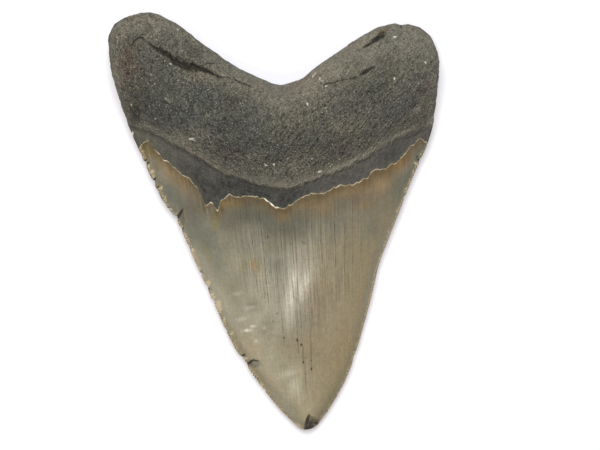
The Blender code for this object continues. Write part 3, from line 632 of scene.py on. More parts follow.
marks = {
    # x, y, half lengths along and across, turn in degrees, strength
    "cream": [  # grit and bone showing pale on the root
        (13.4, 14.6, 0.85, 0.3, 18, 1.0), (-41.6, 34.4, 0.35, 0.4, 0, 0.8),
        (-34.5, 30.1, 0.4, 0.35, 0, 0.8), (-30.9, 26.9, 0.35, 0.35, 0, 0.6),
        (-29.5, 27.0, 0.3, 0.35, 0, 0.6), (-31.0, 35.5, 0.4, 0.35, 0, 0.7),
        (-30.2, 34.9, 0.3, 0.5, 30, 0.7), (-19.4, 30.1, 0.35, 0.35, 0, 0.6),
        (-23.9, 24.1, 1.1, 0.35, 10, 1.0), (-23.0, 23.7, 0.8, 0.3, -20, 0.7),
        (-18.8, 24.9, 0.3, 0.5, 0, 0.6), (-28.1, 56.0, 0.5, 0.3, -40, 0.8),
        (-23.4, 53.1, 0.5, 0.35, -30, 0.7), (-14.5, 42.5, 0.4, 0.35, 0, 0.8),
        (-32.4, 48.0, 0.4, 0.35, 0, 0.8), (-29.7, 45.6, 0.5, 0.3, -40, 0.8),
        (-35.4, 42.6, 0.3, 0.5, 20, 0.6), (-24.0, 44.4, 0.35, 0.3, 0, 0.5),
        (-5.1, 38.6, 0.35, 0.35, 0, 0.6), (0.8, 34.1, 0.3, 0.35, 0, 0.6),
        (9.7, 33.6, 0.3, 0.75, 25, 0.9), (11.5, 32.4, 0.45, 0.35, 0, 0.8),
        (-5.7, 17.1, 0.4, 0.3, 0, 0.6), (-2.1, 16.3, 0.5, 0.3, 0, 0.8), (0.1, 16.6, 0.5, 0.35, 30, 0.8),
        (5.7, 14.6, 0.3, 0.4, 0, 0.6), (35.0, 53.6, 0.8, 0.3, 5, 0.9), (44.0, 46.2, 0.35, 0.6, 30, 0.9),
        (45.7, 48.2, 0.35, 0.4, 0, 0.6), (34.8, 41.4, 0.35, 0.7, 15, 0.9),
        (15.1, 39.0, 0.6, 0.3, 10, 0.8), (11.4, 42.2, 0.7, 0.3, 60, 0.8),
        (12.3, 43.3, 0.6, 0.3, 70, 0.8), (13.2, 41.4, 0.8, 0.3, -60, 0.8),
        (13.9, 40.6, 0.5, 0.3, -50, 0.7), (10.2, 41.1, 0.8, 0.3, 20, 0.6),
        (11.1, 18.2, 0.35, 0.35, 0, 0.8), (28.4, 21.7, 0.4, 0.35, 0, 0.7),
        (-42.0, 26.2, 0.9, 0.5, 80, 0.9), (-2.5, 16.7, 0.5, 0.3, 10, 0.6),
        (0.2, 16.2, 0.4, 0.3, 0, 0.5),
    ],
    "rubsAndPaintedLight": [  # broader pale and greenish rubs on the root, and painted light on its rims, flanks and slopes that turn from the lamp
        (-21.6, 42.2, 4.0, 1.8, 5, 2.0), (-30.0, 38.0, 6.0, 3.0, -25, 0.35),
        (-20.6, 19.0, 5.0, 0.5, -29, 0.6), (1.5, 14.6, 4.0, 1.2, 8, 0.6),
        (22.0, 17.5, 9.0, 0.8, 26, 0.7), (38.0, 25.9, 7.0, 0.6, 24, 0.9),
        (12.0, 43.0, 3.5, 1.6, 50, 1.3), (-46.4, 45.0, 7.0, 2.4, 92, 1.8),
        (-44.6, 56.0, 4.5, 2.4, 55, 1.5), (-38.5, 59.2, 5.0, 2.2, -3, 1.9),
        (2.0, 38.0, 7.0, 1.5, 5, 0.6), (14.5, 40.0, 8.0, 4.0, 30, 0.6), (46.2, 41.0, 8.0, 2.2, 92, 0.6),
        (41.9, 32.6, 6.0, 0.4, 52, 1.0), (6.0, 31.5, 11.0, 5.0, 15, 0.5),
        (35.0, 33.0, 7.0, 4.0, 30, 0.25), (10.5, 39.7, 5.0, 2.4, 35, 1.6),
        (14.5, 43.5, 6.5, 3.0, 48, 1.2), (27.5, 53.6, 6.0, 1.6, 36, 1.7),
        (-11.5, 44.4, 5.5, 1.4, -38, 0.9), (45.0, 34.5, 5.0, 2.5, 95, 0.8),
        (37.0, 39.5, 5.0, 4.0, 0, 0.5), (-4.0, 39.5, 6.0, 2.5, -25, 0.5),
        (41.5, 50.0, 8.0, 6.0, -60, 0.2), (27.5, 29.5, 5.0, 4.0, 20, 0.4),
        (-26.4, 24.2, 5.0, 2.0, -25, 1.0), (7.5, 18.0, 5.0, 2.5, 20, 0.5),
        (-13.0, 33.0, 5.0, 4.0, 0, 0.35), (-21.0, 25.8, 4.5, 2.5, -20, 1.0),
        (31.5, 28.6, 3.4, 2.2, 0, 0.5), (3.5, 15.8, 3.5, 1.6, 0, 0.5), (17.0, 35.2, 5.0, 1.6, 0, 0.6),
        (10.5, 33.0, 2.0, 2.0, 0, 0.6), (-8.0, 37.3, 2.0, 2.0, 0, 0.6), (-5.5, 19.4, 5.0, 1.4, 0, 0.5),
        (-24.6, 18.0, 8.0, 1.3, -28, 0.9), (-19.5, 8.2, 2.2, 2.2, 0, 0.5), (0.6, 6.8, 1.2, 1.4, 0, 1.0),
        (12.0, 35.5, 3.0, 3.0, 0, 0.8), (20.5, 27.3, 4.0, 2.0, 10, 0.7), (40.0, 43.8, 5.0, 1.6, 8, 0.8),
        (41.8, 32.2, 3.4, 1.3, 50, 1.4), (45.8, 45.5, 5.0, 1.8, 92, 0.8),
        (33.0, 27.9, 4.0, 2.2, 10, 0.6), (6.5, 16.8, 3.0, 2.4, 0, 0.9), (-16.4, 5.9, 2.0, 2.2, 0, 0.8),
        (-19.0, 14.4, 3.5, 2.0, -30, 1.0), (11.2, 41.8, 4.5, 2.5, 50, 2.2),
        (0.0, 38.6, 5.0, 1.6, -5, 0.7), (37.6, 42.0, 3.0, 2.5, 0, 0.8), (43.0, 45.5, 3.0, 3.0, 0, 0.6),
        (37.3, 52.4, 3.0, 2.0, 0, 0.6), (-24.8, 38.9, 2.2, 2.2, 0, 0.7), (-11.0, 8.9, 2.5, 1.0, 0, 0.6),
        (1.9, 10.1, 2.5, 1.2, 0, 0.6), (-31.5, 22.5, 6.0, 1.2, -28, 0.5),
    ],
    "fissure": [  # dark cracks in the root, and painted shade in the hollow by the right lobe
        (26.9, 43.4, 2.0, 0.45, 33, 1.1), (29.9, 53.2, 3.2, 0.75, 38, 0.95),
        (27.3, 51.3, 2.0, 0.5, 30, 1.2), (31.6, 54.0, 1.2, 0.8, 60, 0.9),
        (37.2, 57.2, 0.4, 0.9, 10, 1.0), (43.6, 31.4, 4.5, 0.6, 52, 0.3),
        (40.0, 25.1, 4.0, 0.35, 24, 0.7), (-34.8, 50.8, 2.2, 0.3, -40, 1.0),
        (-44.0, 27.5, 1.2, 0.8, 0, 0.7), (20.6, 48.9, 1.6, 0.3, 35, 0.4),
        (28.4, 46.0, 4.0, 0.3, 25, 0.35),
    ],
    "darkRootClouds": [  # broader darker clouds on the root
        (-23.9, 49.5, 4.2, 2.4, -40, 1.0), (-27.4, 48.0, 3.0, 1.6, -30, 0.6),
        (-35.4, 49.5, 2.0, 1.8, 0, 0.7), (-40.3, 53.8, 2.4, 1.4, 30, 0.8),
        (-35.4, 40.0, 2.6, 1.4, -15, 0.8), (-30.0, 38.2, 2.6, 1.8, -40, 0.9),
        (-37.0, 34.0, 3.4, 1.8, -30, 0.6), (-25.4, 35.7, 1.6, 1.4, 0, 0.6),
        (-41.0, 30.4, 3.0, 1.7, 62, 1.8), (43.6, 28.8, 2.6, 1.2, 30, 1.2),
        (-32.5, 50.9, 4.5, 4.0, -40, 0.6), (-11.6, 34.3, 2.8, 2.4, 0, 1.1),
        (-11.0, 27.4, 3.2, 2.0, -25, 1.1), (-14.5, 20.5, 2.0, 1.6, -30, 0.5),
        (1.4, 22.2, 2.2, 1.6, 0, 0.6), (31.5, 46.4, 4.0, 1.6, 30, 0.9), (30.5, 42.3, 2.8, 1.8, 20, 0.7),
        (24.9, 40.2, 2.6, 1.6, 10, 0.7), (34.5, 20.0, 3.2, 1.8, 35, 1.3),
        (36.0, 23.0, 3.0, 1.0, 30, 0.5), (18.6, 11.8, 4.5, 1.3, 20, 1.0),
        (36.0, 28.5, 6.0, 1.2, 24, 0.3), (-15.5, 26.5, 3.5, 2.0, -15, 0.6),
        (-12.5, 21.8, 4.0, 2.0, -10, 0.5), (-7.0, 22.5, 2.5, 2.5, 0, 0.5),
        (24.0, 45.0, 4.0, 2.0, 30, 0.5), (30.5, 38.5, 2.8, 2.8, 0, 0.6),
        (26.0, 37.5, 4.0, 2.0, 10, 0.5), (-36.5, 36.5, 3.5, 3.5, 0, 0.5),
        (-8.5, 14.2, 8.0, 1.2, -15, 0.5),
    ],
    "clean": [  # enamel that the stain by its edge never reached
        (-20.8, 6.0, 4.5, 3.2, -62, 1.0), (-27.0, 9.0, 3.0, 2.5, 0, 0.5),
        (-30.0, 13.0, 9.0, 3.0, -42, 0.45), (44.6, 21.5, 2.2, 3.4, -20, 1.0),
    ],
    "pitsAndFlakeShadow": [  # dark pits and fillings on the crown, and painted shadow on the shaded sides of flakes
        (-1.7, -4.3, 0.3, 0.6, 0, 0.8), (3.0, -33.8, 0.4, 0.4, 0, 0.7), (6.8, -34.4, 0.35, 0.5, 0, 0.9),
        (8.0, -35.8, 0.35, 0.45, 0, 0.9), (8.6, -41.0, 0.45, 0.35, 0, 0.8),
        (10.9, -40.6, 0.25, 0.6, 10, 0.7), (11.0, -43.0, 0.3, 0.6, 0, 0.8),
        (9.3, -39.6, 0.45, 0.25, 0, 0.7), (-1.1, -14.5, 0.3, 0.4, 0, 0.8),
        (23.3, -31.6, 0.3, 0.3, 0, 0.5), (19.3, -32.3, 0.3, 0.3, 0, 0.4),
        (18.1, -38.2, 0.3, 0.3, 0, 0.5), (20.6, -39.1, 0.3, 0.3, 0, 0.4),
        (14.1, -42.4, 0.3, 0.3, 0, 0.4), (0.9, -26.6, 0.5, 0.5, 0, 0.6),
        (-0.2, -28.9, 0.5, 0.4, 0, 0.5), (8.4, -5.8, 1.0, 0.2, -40, 0.8), (8.9, -6.0, 0.3, 0.3, 0, 0.7),
        (5.0, -6.4, 0.9, 0.2, -55, 0.6), (-25.3, -7.3, 0.6, 0.4, 20, 1.0),
        (-21.6, -14.6, 0.5, 0.3, 20, 0.8), (-19.6, -19.6, 0.7, 0.4, -30, 1.1),
        (-38.1, 18.4, 0.8, 0.25, 25, 1.1), (-37.5, 17.4, 1.0, 0.25, 35, 1.0),
        (-35.6, 12.6, 0.9, 0.4, 50, 1.1), (-34.4, 10.5, 0.8, 0.3, 20, 0.9),
        (-31.4, 4.6, 0.8, 0.3, -40, 0.8), (-29.0, 1.4, 0.9, 0.6, 50, 1.3),
        (-27.9, 2.4, 2.1, 0.4, 55, 1.3), (-27.4, -2.0, 0.7, 0.4, 20, 1.0),
        (-26.9, 1.2, 0.4, 1.6, 15, 0.4), (-7.3, -41.6, 1.7, 0.35, 42, 1.3),
        (-5.4, -40.9, 1.2, 0.3, 0, 0.8), (-9.3, -39.5, 1.0, 0.35, 25, 1.2),
        (-6.3, -42.2, 1.3, 0.7, 30, 0.3), (9.7, -58.9, 2.0, 0.6, 76, 1.2),
        (10.3, -61.0, 1.5, 0.6, 14, 1.8), (12.6, -59.9, 0.9, 0.5, -20, 1.3),
        (10.8, -59.4, 1.8, 1.2, 70, 0.75), (43.0, 18.6, 0.8, 0.4, 15, 1.1),
        (42.2, 19.4, 0.7, 0.3, 60, 0.9), (44.9, 24.0, 0.5, 0.8, 0, 0.9),
        (24.2, -40.0, 0.6, 0.4, 0, 0.7),
    ],
    "deep": [  # long cracks that go on below the others
        (7.0, -35.0, 0.17, 4.0, 4, 1.0), (8.6, -39.5, 0.17, 4.5, 3, 1.0),
        (9.3, -45.5, 0.17, 3.5, 3, 0.9), (10.8, -37.0, 0.17, 6.0, 2, 0.9),
        (6.6, -22.0, 0.17, 7.0, 2, 0.6), (2.6, -31.0, 0.17, 5.0, 5, 0.7),
        (13.2, -26.0, 0.17, 7.0, -3, 0.4),
    ],
    "rubsAndHighlight": [  # pale rubs; the long ones down the middle of the crown are a painted highlight
        (-6.1, -30.5, 0.8, 0.35, 5, 0.9), (-7.9, -31.8, 1.3, 0.4, 10, 0.9),
        (-5.3, -34.9, 0.6, 0.5, 20, 0.5), (-2.9, -31.0, 0.4, 0.3, 0, 0.4),
        (-7.0, -25.0, 1.4, 0.5, 10, 0.3), (6.0, -48.5, 2.0, 3.0, 0, 0.3),
        (4.0, -44.5, 3.0, 1.2, 20, 0.25), (4.9, -23.0, 1.7, 6.5, -3, 0.45),
        (5.8, -16.8, 2.0, 3.8, 0, 0.44), (9.0, -18.0, 1.7, 5.0, -18, 0.52),
        (-11.0, -21.0, 1.6, 0.6, 15, 0.25), (-9.5, -28.5, 1.8, 0.5, 12, 0.3),
    ],
    "cloudsAndPaintedShade": [  # broad darker clouds, in part painted shade that darkens the crown around its highlight and by the neck
        (-2.0, 2.6, 11.0, 3.6, -5, 1.0), (3.0, -3.5, 9.0, 4.0, 0, 0.8), (-9.0, -1.5, 6.0, 3.5, 0, 0.4),
        (-21.0, -4.0, 3.5, 5.0, 20, 0.3), (4.0, -34.0, 9.0, 8.0, 0, 0.65),
        (1.2, -12.2, 3.0, 4.0, 0, 1.0), (-2.2, -30.6, 3.4, 5.0, 0, 1.2),
        (-6.0, -24.6, 3.0, 2.8, 0, 1.2), (-6.9, 2.6, 4.0, 3.6, 0, 1.2), (5.6, -24.5, 4.5, 9.0, 0, 0.3),
        (5.5, -54.5, 2.0, 5.0, 38, 0.7), (-2.4, -36.5, 2.4, 4.0, 0, 0.7),
        (11.0, -38.5, 3.5, 5.0, 0, 0.7), (30.9, -1.0, 4.0, 4.0, 0, 0.7),
        (28.8, -14.0, 1.4, 9.0, -12, 0.5), (-6.6, 5.6, 5.0, 1.7, 0, 1.6),
        (11.0, 6.4, 4.0, 1.6, 20, 1.0), (-12.5, 4.6, 3.0, 2.4, 0, 0.6), (2.8, 0.6, 2.4, 2.4, 0, 1.2),
        (20.8, 3.6, 6.0, 3.0, 0, 0.6), (13.0, -55.7, 2.0, 2.0, 0, 0.5), (9.2, -19.7, 1.0, 2.0, 0, 0.6),
        (3.0, -13.0, 4.0, 9.0, 0, 0.6), (1.0, -7.5, 4.0, 4.0, 0, 1.0), (22.0, 2.0, 8.0, 3.5, 20, 0.45),
        (-9.5, -39.0, 3.0, 4.5, 35, 0.7), (34.5, 4.5, 3.0, 6.0, -25, 0.6),
        (7.0, -49.0, 6.0, 5.0, 0, 0.5), (12.0, -30.0, 3.5, 8.0, 0, 0.6),
        (-3.0, -29.0, 5.0, 4.0, 0, 0.5), (-9.0, -29.0, 5.0, 8.0, 25, 0.8),
        (-12.0, -17.0, 7.0, 5.0, 0, 0.35), (31.0, -7.0, 3.0, 8.0, 0, 0.4),
        (0.0, -40.0, 5.0, 6.0, 20, 0.5),
    ],
    "paleCloudsAndHighlight": [  # broad paler clouds, in part a painted highlight beside the crown's sheen
        (-13.5, -15.0, 4.0, 4.5, 0, 0.5), (12.5, -13.5, 3.0, 5.0, 0, 0.4),
        (20.0, -14.0, 6.0, 6.0, 0, 0.3), (9.5, -54.0, 4.0, 3.0, 0, 0.3), (-19.0, 0.5, 4.0, 4.0, 0, 0.5),
        (-18.7, 3.8, 3.0, 2.2, 0, 0.7), (-10.1, -11.8, 3.0, 4.0, 0, 0.5),
        (-4.6, -18.5, 2.6, 4.5, 15, 0.8), (-2.0, -22.6, 1.8, 2.4, 0, 0.8),
        (7.7, -52.1, 2.5, 3.0, 0, 0.5), (-33.8, 15.8, 6.5, 2.6, -45, 0.9),
        (38.5, 16.5, 4.0, 2.0, 45, 0.7), (31.5, 11.0, 4.5, 2.5, 30, 0.5), (22.0, 3.5, 4.0, 3.0, 0, 0.4),
        (-6.0, -12.5, 1.6, 2.6, 0, 0.8), (-3.2, -16.6, 1.7, 5.6, 15, 1.3),
        (-15.0, -3.9, 3.0, 2.5, 0, 0.5), (19.5, -21.0, 3.0, 7.0, 0, 0.3),
        (-27.0, 10.0, 5.0, 3.0, -45, 0.3),
    ],
    "ochre": [  # iron stain
        (-5.9, -12.3, 0.8, 1.6, 0, 1.0), (-4.6, -14.0, 0.4, 1.6, 0, 0.6),
        (-5.7, -12.0, 1.6, 2.2, 0, 0.35), (3.0, 1.0, 2.0, 1.4, 15, 0.35),
        (31.5, 10.8, 4.5, 2.2, 38, 0.7), (14.0, 3.8, 5.0, 2.4, 12, 0.5),
        (26.5, 5.2, 4.0, 1.6, 20, 0.45), (12.0, -18.8, 3.5, 3.2, 0, 0.35),
        (19.2, 20.8, 4.0, 2.2, 0, 0.35), (7.0, 18.5, 2.0, 4.0, 0, 0.3), (-12.8, 19.5, 2.6, 2.2, 0, 0.5),
        (-13.0, 5.4, 4.0, 1.0, 0, 0.4), (-4.5, 5.0, 3.0, 0.9, -12, 0.1), (9.5, 5.0, 4.0, 1.2, 20, 0.35),
        (22.0, 8.6, 6.0, 1.6, 22, 0.45), (33.0, 14.0, 6.0, 1.6, 35, 0.3),
        (-30.5, 14.2, 6.0, 1.0, -38, 0.4), (31.8, 55.5, 1.8, 0.6, 36, 1.4),
        (44.0, 38.5, 2.5, 1.5, 60, 0.4), (-42.0, 46.0, 4.0, 5.0, 0, 0.7),
        (-42.6, 34.0, 3.0, 4.0, 0, 0.5), (8.0, 40.5, 7.0, 2.6, 25, 0.35),
        (9.2, -20.0, 0.6, 1.3, -10, 0.8), (15.0, -10.0, 1.2, 8.0, 0, 0.15),
        (-6.6, -37.5, 3.5, 5.0, 30, 0.3), (9.0, -36.0, 8.0, 4.5, 0, 0.25),
        (11.5, -24.5, 4.0, 7.0, 0, 0.25), (20.0, -38.0, 6.0, 9.0, -15, 0.2),
        (-1.0, -47.0, 2.5, 7.0, 38, 0.3), (37.0, 17.4, 4.0, 1.8, 42, 0.5),
        (26.0, 8.5, 7.0, 3.0, 20, 0.35), (-29.5, 12.8, 7.5, 2.2, -42, 0.55),
        (2.2, 1.2, 1.8, 1.8, 0, 0.35), (-26.2, 1.6, 0.3, 1.8, 12, 0.9), (10.6, -59.0, 2.0, 1.6, 0, 0.5),
    ],
    "blue": [  # blue-grey clouds in the enamel
        (-16.7, -11.5, 3.4, 6.0, 10, 0.9), (-22.5, -3.0, 3.5, 4.0, 30, 0.8),
        (37.5, 10.5, 1.6, 5.0, -30, 0.7), (-34.4, 16.0, 2.6, 1.6, -45, 0.9),
        (-30.0, 9.5, 3.0, 3.5, 30, 0.9), (42.5, 21.0, 1.0, 3.0, 0, 0.7), (-2.5, -8.9, 2.6, 1.6, 0, 0.5),
        (0.0, 1.0, 9.0, 2.4, -8, 0.6), (18.0, -2.0, 7.0, 3.5, 15, 0.35),
        (0.5, -50.0, 1.0, 8.0, 38, 0.5), (5.0, -54.5, 1.0, 3.0, 40, 0.4),
        (28.3, -1.8, 3.0, 4.5, -25, 0.8), (-6.8, -6.5, 4.0, 4.5, 0, 0.5),
        (0.0, -11.5, 4.0, 3.0, 0, 0.5), (-19.6, -6.2, 3.0, 4.0, 30, 1.2),
        (-11.8, -18.5, 3.5, 4.0, 20, 0.35), (-4.2, -9.7, 3.5, 2.5, 0, 0.5),
        (-31.5, 13.5, 4.5, 1.2, -40, 0.6),
        # and in the root
        (-24.6, 38.0, 12.0, 4.0, -47, 0.9), (-28.2, 28.0, 5.0, 3.0, 0, 0.6),
        (-19.5, 29.5, 5.0, 3.5, 0, 0.8), (37.0, 52.5, 7.0, 4.0, 0, 0.4), (-9.6, 33.7, 2.6, 3.2, 0, 0.5),
        (-2.0, 22.5, 7.0, 3.5, 0, 0.5), (33.5, 53.8, 4.5, 3.0, 0, 0.7),
        (-29.0, 49.0, 5.0, 3.0, -40, 0.4),
    ],
    "olive": [  # yellow-green clouds in the enamel
        (-17.1, 0.5, 1.0, 3.2, 0, 0.9), (-21.5, -4.5, 1.4, 1.6, 0, 0.2),
        (-36.6, 21.2, 2.4, 1.6, -48, 1.2), (-15.2, -12.0, 3.0, 0.8, 20, 0.4),
        (-20.0, -8.0, 1.6, 4.5, 25, 0.5), (-12.5, -20.5, 2.0, 4.0, 25, 0.4),
        (-8.6, -12.4, 0.8, 1.7, 0, 0.8), (-4.4, -12.9, 0.9, 1.8, 0, 0.9),
        (-1.2, -7.2, 0.8, 1.3, 0, 0.7), (-4.5, -45.5, 1.2, 6.0, 38, 0.7),
        (-11.5, -34.0, 1.2, 5.0, 32, 0.5), (-13.0, 5.0, 3.0, 1.5, 0, 0.4),
        (16.5, -52.0, 1.0, 6.0, -28, 0.5),
    ],
    "bead": [  # cream bone beads where the cutting edge is worn
        (-19.7, -18.3, 1.5, 1.0, 62, 1.3), (-18.5, -21.6, 1.2, 0.9, 60, 1.2),
        (-16.9, -24.6, 1.7, 1.3, 62, 1.4), (-14.9, -28.9, 0.9, 0.7, 60, 0.9),
        (-28.6, -0.6, 0.9, 0.6, 60, 0.9), (-30.9, 3.6, 0.9, 0.7, 55, 1.0),
        (-24.3, -8.4, 1.0, 1.0, 0, 1.0), (-19.6, -18.0, 1.3, 1.0, 60, 1.0),
        (-18.2, -22.2, 1.6, 1.0, 65, 0.9), (-16.3, -26.0, 1.3, 1.0, 65, 1.0),
        (-12.6, -33.0, 1.2, 0.9, 60, 0.8), (-3.9, -48.3, 1.0, 0.9, 45, 1.1),
        (-9.0, -41.0, 1.4, 0.5, 30, 1.1), (-40.3, 20.4, 1.0, 1.2, 30, 1.0),
        (-39.3, 18.8, 1.0, 0.9, 30, 0.9), (-36.0, 14.9, 1.0, 1.0, 30, 1.0),
        (-33.6, 10.2, 1.0, 0.9, 40, 0.9), (-26.6, -4.0, 1.0, 0.8, 50, 1.0),
        (-24.0, -10.6, 1.2, 0.8, 60, 1.1), (-22.6, -13.4, 1.0, 0.8, 60, 0.9),
        (-6.2, -44.4, 1.0, 0.7, 50, 0.7), (-37.2, 16.6, 0.9, 0.5, 40, 1.1),
        (-32.3, 7.4, 0.9, 0.6, 50, 0.8), (7.0, -60.4, 1.8, 0.8, -25, 1.2),
        (-8.6, -40.5, 1.3, 0.35, 28, 1.2), (41.9, 17.3, 1.0, 0.3, -55, 1.3),
        (42.6, 17.0, 0.6, 0.3, -55, 1.0), (39.0, 9.5, 0.8, 1.6, -20, 0.8),
        (36.4, 3.6, 0.7, 1.4, -20, 0.6), (34.0, -2.2, 0.8, 1.4, -20, 0.6),
        (44.2, 20.6, 0.3, 1.0, -15, 0.7),
    ],
    "bright": [  # where the broken enamel catches the light
        (-2.1, 6.3, 0.8, 0.7, -40, 1.2), (-0.4, 5.0, 1.0, 0.6, -50, 1.3),
        (0.8, 4.2, 0.6, 0.6, -20, 1.0), (-18.3, 5.7, 0.5, 0.7, 0, 0.7), (-16.3, 3.2, 0.6, 0.5, 0, 0.6),
        (-13.4, 7.7, 0.9, 0.5, 0, 0.6), (-34.0, 20.3, 0.6, 0.8, 0, 0.6),
        (-31.9, 18.0, 0.8, 0.8, 0, 0.6), (-25.6, 14.0, 0.6, 0.6, 0, 0.7),
        (-23.6, 12.2, 0.8, 0.8, 0, 0.6), (9.0, 7.2, 0.7, 0.5, 0, 0.5), (18.6, 10.3, 1.0, 0.6, 0, 0.5),
        (24.6, 12.0, 1.0, 0.8, 0, 0.5), (28.4, 14.4, 0.8, 0.8, 0, 0.5), (38.5, 20.5, 1.6, 1.6, 0, 0.4),
    ],
}


crackLines = [
    # cracks that wander over the root: strength, half width, and points as (x, y)
    (1.1, 0.24, [(14.4, 39.3), (15.6, 39.9), (17.4, 40.0), (18.3, 40.6), (20.2, 40.9)]),
    (0.8, 0.22, [(20.2, 40.9), (22.0, 41.3), (24.3, 42.0), (25.8, 43.1)]),
    (1.2, 0.34, [(24.9, 42.4), (25.8, 43.1), (26.9, 43.9), (28.8, 44.6)]),
    (0.75, 0.2, [(28.8, 44.6), (31.8, 44.0), (33.6, 42.9), (35.0, 42.4)]),
    (1.2, 0.26, [(-40.9, 51.2), (-40.2, 52.5), (-39.1, 53.2), (-37.6, 53.3)]),
    (1.1, 0.2, [(-38.2, 53.2), (-37.6, 52.6), (-37.4, 51.6)]),
    (1.2, 0.24, [(-11.2, 40.8), (-9.9, 40.2), (-9.3, 39.9), (-8.4, 39.9), (-6.6, 39.1)]),
    (1.0, 0.24, [(-20.3, 45.2), (-19.0, 45.8), (-17.4, 45.7)]),
    (1.2, 0.26, [(-20.0, 43.9), (-17.9, 42.9), (-16.2, 42.0), (-14.9, 41.6)]),
    (0.9, 0.24, [(-14.9, 41.6), (-13.0, 41.6), (-12.2, 41.1)]),
    (0.8, 0.2, [(-26.0, 22.7), (-24.4, 21.8), (-21.0, 19.4), (-18.4, 17.8), (-16.2, 16.6)]),
    (0.6, 0.22, [(37.9, 27.2), (40.7, 27.8), (44.5, 28.4)]),
]


def markField(name, x, y):
    total = np.zeros_like(x)
    for centreX, centreY, half, aside, turn, strength in marks[name]:
        total = np.maximum(total, strength * spot(x, y, centreX, centreY, half, aside, turn))
    if name == "fissure":
        for strength, half, points in crackLines:
            steps = np.linspace(0, len(points) - 1, 14 * len(points))
            line = np.stack([np.interp(steps, range(len(points)), c) for c in zip(*points)], axis=1)
            total = np.maximum(total, strength * np.exp(-((distanceTo(x, y, line) / half) ** 2)))
    return total


def makeToothMesh(skin):
    data = bpy.data.meshes.new("tooth_surface")
    places = np.array(skin.places)
    data.from_pydata([tuple(p) for p in places * mm], [], skin.faces)
    normals = np.zeros(len(places) * 3, np.float32)
    data.vertices.foreach_get("normal", normals)
    normals = normals.reshape(-1, 3)
    fields = {name: np.array(values, dtype=float) for name, values in skin.fields.items()}
    upper = np.array(skin.upperPoint, dtype=float)
    for name in marks:
        fields[name] = markField(name, places[:, 0], places[:, 1]) * upper

    # the fine relief, pushed out or in along the surface
    isCrown = (fields["alongCrown"] <= 1.0).astype(float)
    isRoot = (1 - isCrown) * (0.3 + 0.7 * ramp(fields["ridge"], -0.8, 1.2))
    mottle = noiseField(places, relief["rootMottleSize"], octaves=3, seed=3.1)
    grainSize = relief["rootGrainSize"] * np.array([1.0, 1.6, 1.2])
    grain = noiseField(places, grainSize, octaves=3, seed=17.0)
    bundles = np.stack([fields["bundle"] / 1.1, places[:, 1] / 30.0, places[:, 2] * 0.0], axis=1)
    push = isRoot * (relief["rootMottle"] * mottle + relief["rootGrain"] * grain)
    waves = noiseField(bundles, 1.0, octaves=2, seed=40.0)
    push += isCrown * relief["enamelWave"] * waves * ramp(fields["rim"], 0.5, 3.0)
    places = places + normals * push[:, None]
    places[:, 2] = np.maximum(places[:, 2], 0.0)

    # set over the solid: middle of its box, and lowest point on the floor
    low, high = (np.array(corner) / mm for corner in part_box("tooth"))
    centre = (places.min(axis=0) + places.max(axis=0)) / 2
    places[:, :2] += (low[:2] + high[:2]) / 2 - centre[:2]
    places[:, 2] += low[2] - places[:, 2].min()
    data.vertices.foreach_set("co", (places * mm).astype(np.float32).ravel())

    for name, values in fields.items():
        attribute = data.attributes.new(name, "FLOAT", "POINT")
        attribute.data.foreach_set("value", values.astype(np.float32))

    corners = np.zeros(len(data.loops), np.int32)
    data.loops.foreach_get("vertex_index", corners)
    sizes = np.array([len(face) for face in skin.faces])
    upperCorner = np.repeat(np.array(skin.isUpper), sizes)
    span = 128.0  # millimetres over half the map's width, upper face left and under face right
    u = (places[corners, 0] + 50.0) / (2 * span) + np.where(upperCorner, 0.01, 0.51)
    v = (places[corners, 1] + 63.0) / span
    layer = data.uv_layers.new(name="OFBake")
    layer.data.foreach_set("uv", np.stack([u, v], axis=1).astype(np.float32).ravel())
    data.polygons.foreach_set("material_index", [0 if zone == crown else 1 for zone in skin.zones])
    data.shade_smooth()
    data.update()
    return data


def linear(hexCode):
    # a colour's sRGB hex code as the linear values that shaders take
    channels = [int(hexCode[i:i + 2], 16) / 255 for i in (1, 3, 5)]
    return [c / 12.92 if c <= 0.04045 else ((c + 0.055) / 1.055) ** 2.4 for c in channels] + [1.0]


# the nodes that the finishes are made of: type, settings, the inputs that values go to in turn,
# and the output that is used
nodeKinds = {
    "position": ("TexCoord", {}, (), "Object"),
    "enlarged": ("VectorMath", {"operation": "SCALE"}, (0, "Scale"), 0),
    "stretched": ("VectorMath", {"operation": "MULTIPLY"}, (0, 1), 0),
    "field": ("Attribute", {}, (), "Fac"),
    "x": ("SeparateXYZ", {}, (0,), "X"),
    "y": ("SeparateXYZ", {}, (0,), "Y"),
    "at": ("CombineXYZ", {}, ("X", "Y"), 0),
    "times": ("Math", {"operation": "MULTIPLY"}, (0, 1), 0),
    "plus": ("Math", {"operation": "ADD"}, (0, 1), 0),
    "minus": ("Math", {"operation": "SUBTRACT"}, (0, 1), 0),
    "larger": ("Math", {"operation": "MAXIMUM"}, (0, 1), 0),
    "smaller": ("Math", {"operation": "MINIMUM"}, (0, 1), 0),
    "size": ("Math", {"operation": "ABSOLUTE"}, (0,), 0),
    # 0 to 1 as a value goes from one limit to the other
    "between": (
        "MapRange", {"interpolation_type": "SMOOTHSTEP"}, ("Value", "From Min", "From Max"), "Result"
    ),
    "noise": ("TexNoise", {}, ("Vector", "Detail", "Roughness", "Scale"), "Fac"),
    "toBorder": (
        "TexVoronoi", {"voronoi_dimensions": "1D", "feature": "DISTANCE_TO_EDGE"},
        ("W", "Scale"), "Distance"
    ),
    "mix": ("Mix", {"data_type": "RGBA"}, (0, 6, 7), 2),
    "darken": ("Mix", {"data_type": "RGBA", "blend_type": "MULTIPLY"}, (0, 6, 7), 2),
    "bump": ("Bump", {}, ("Height", "Strength", "Distance"), "Normal"),
}


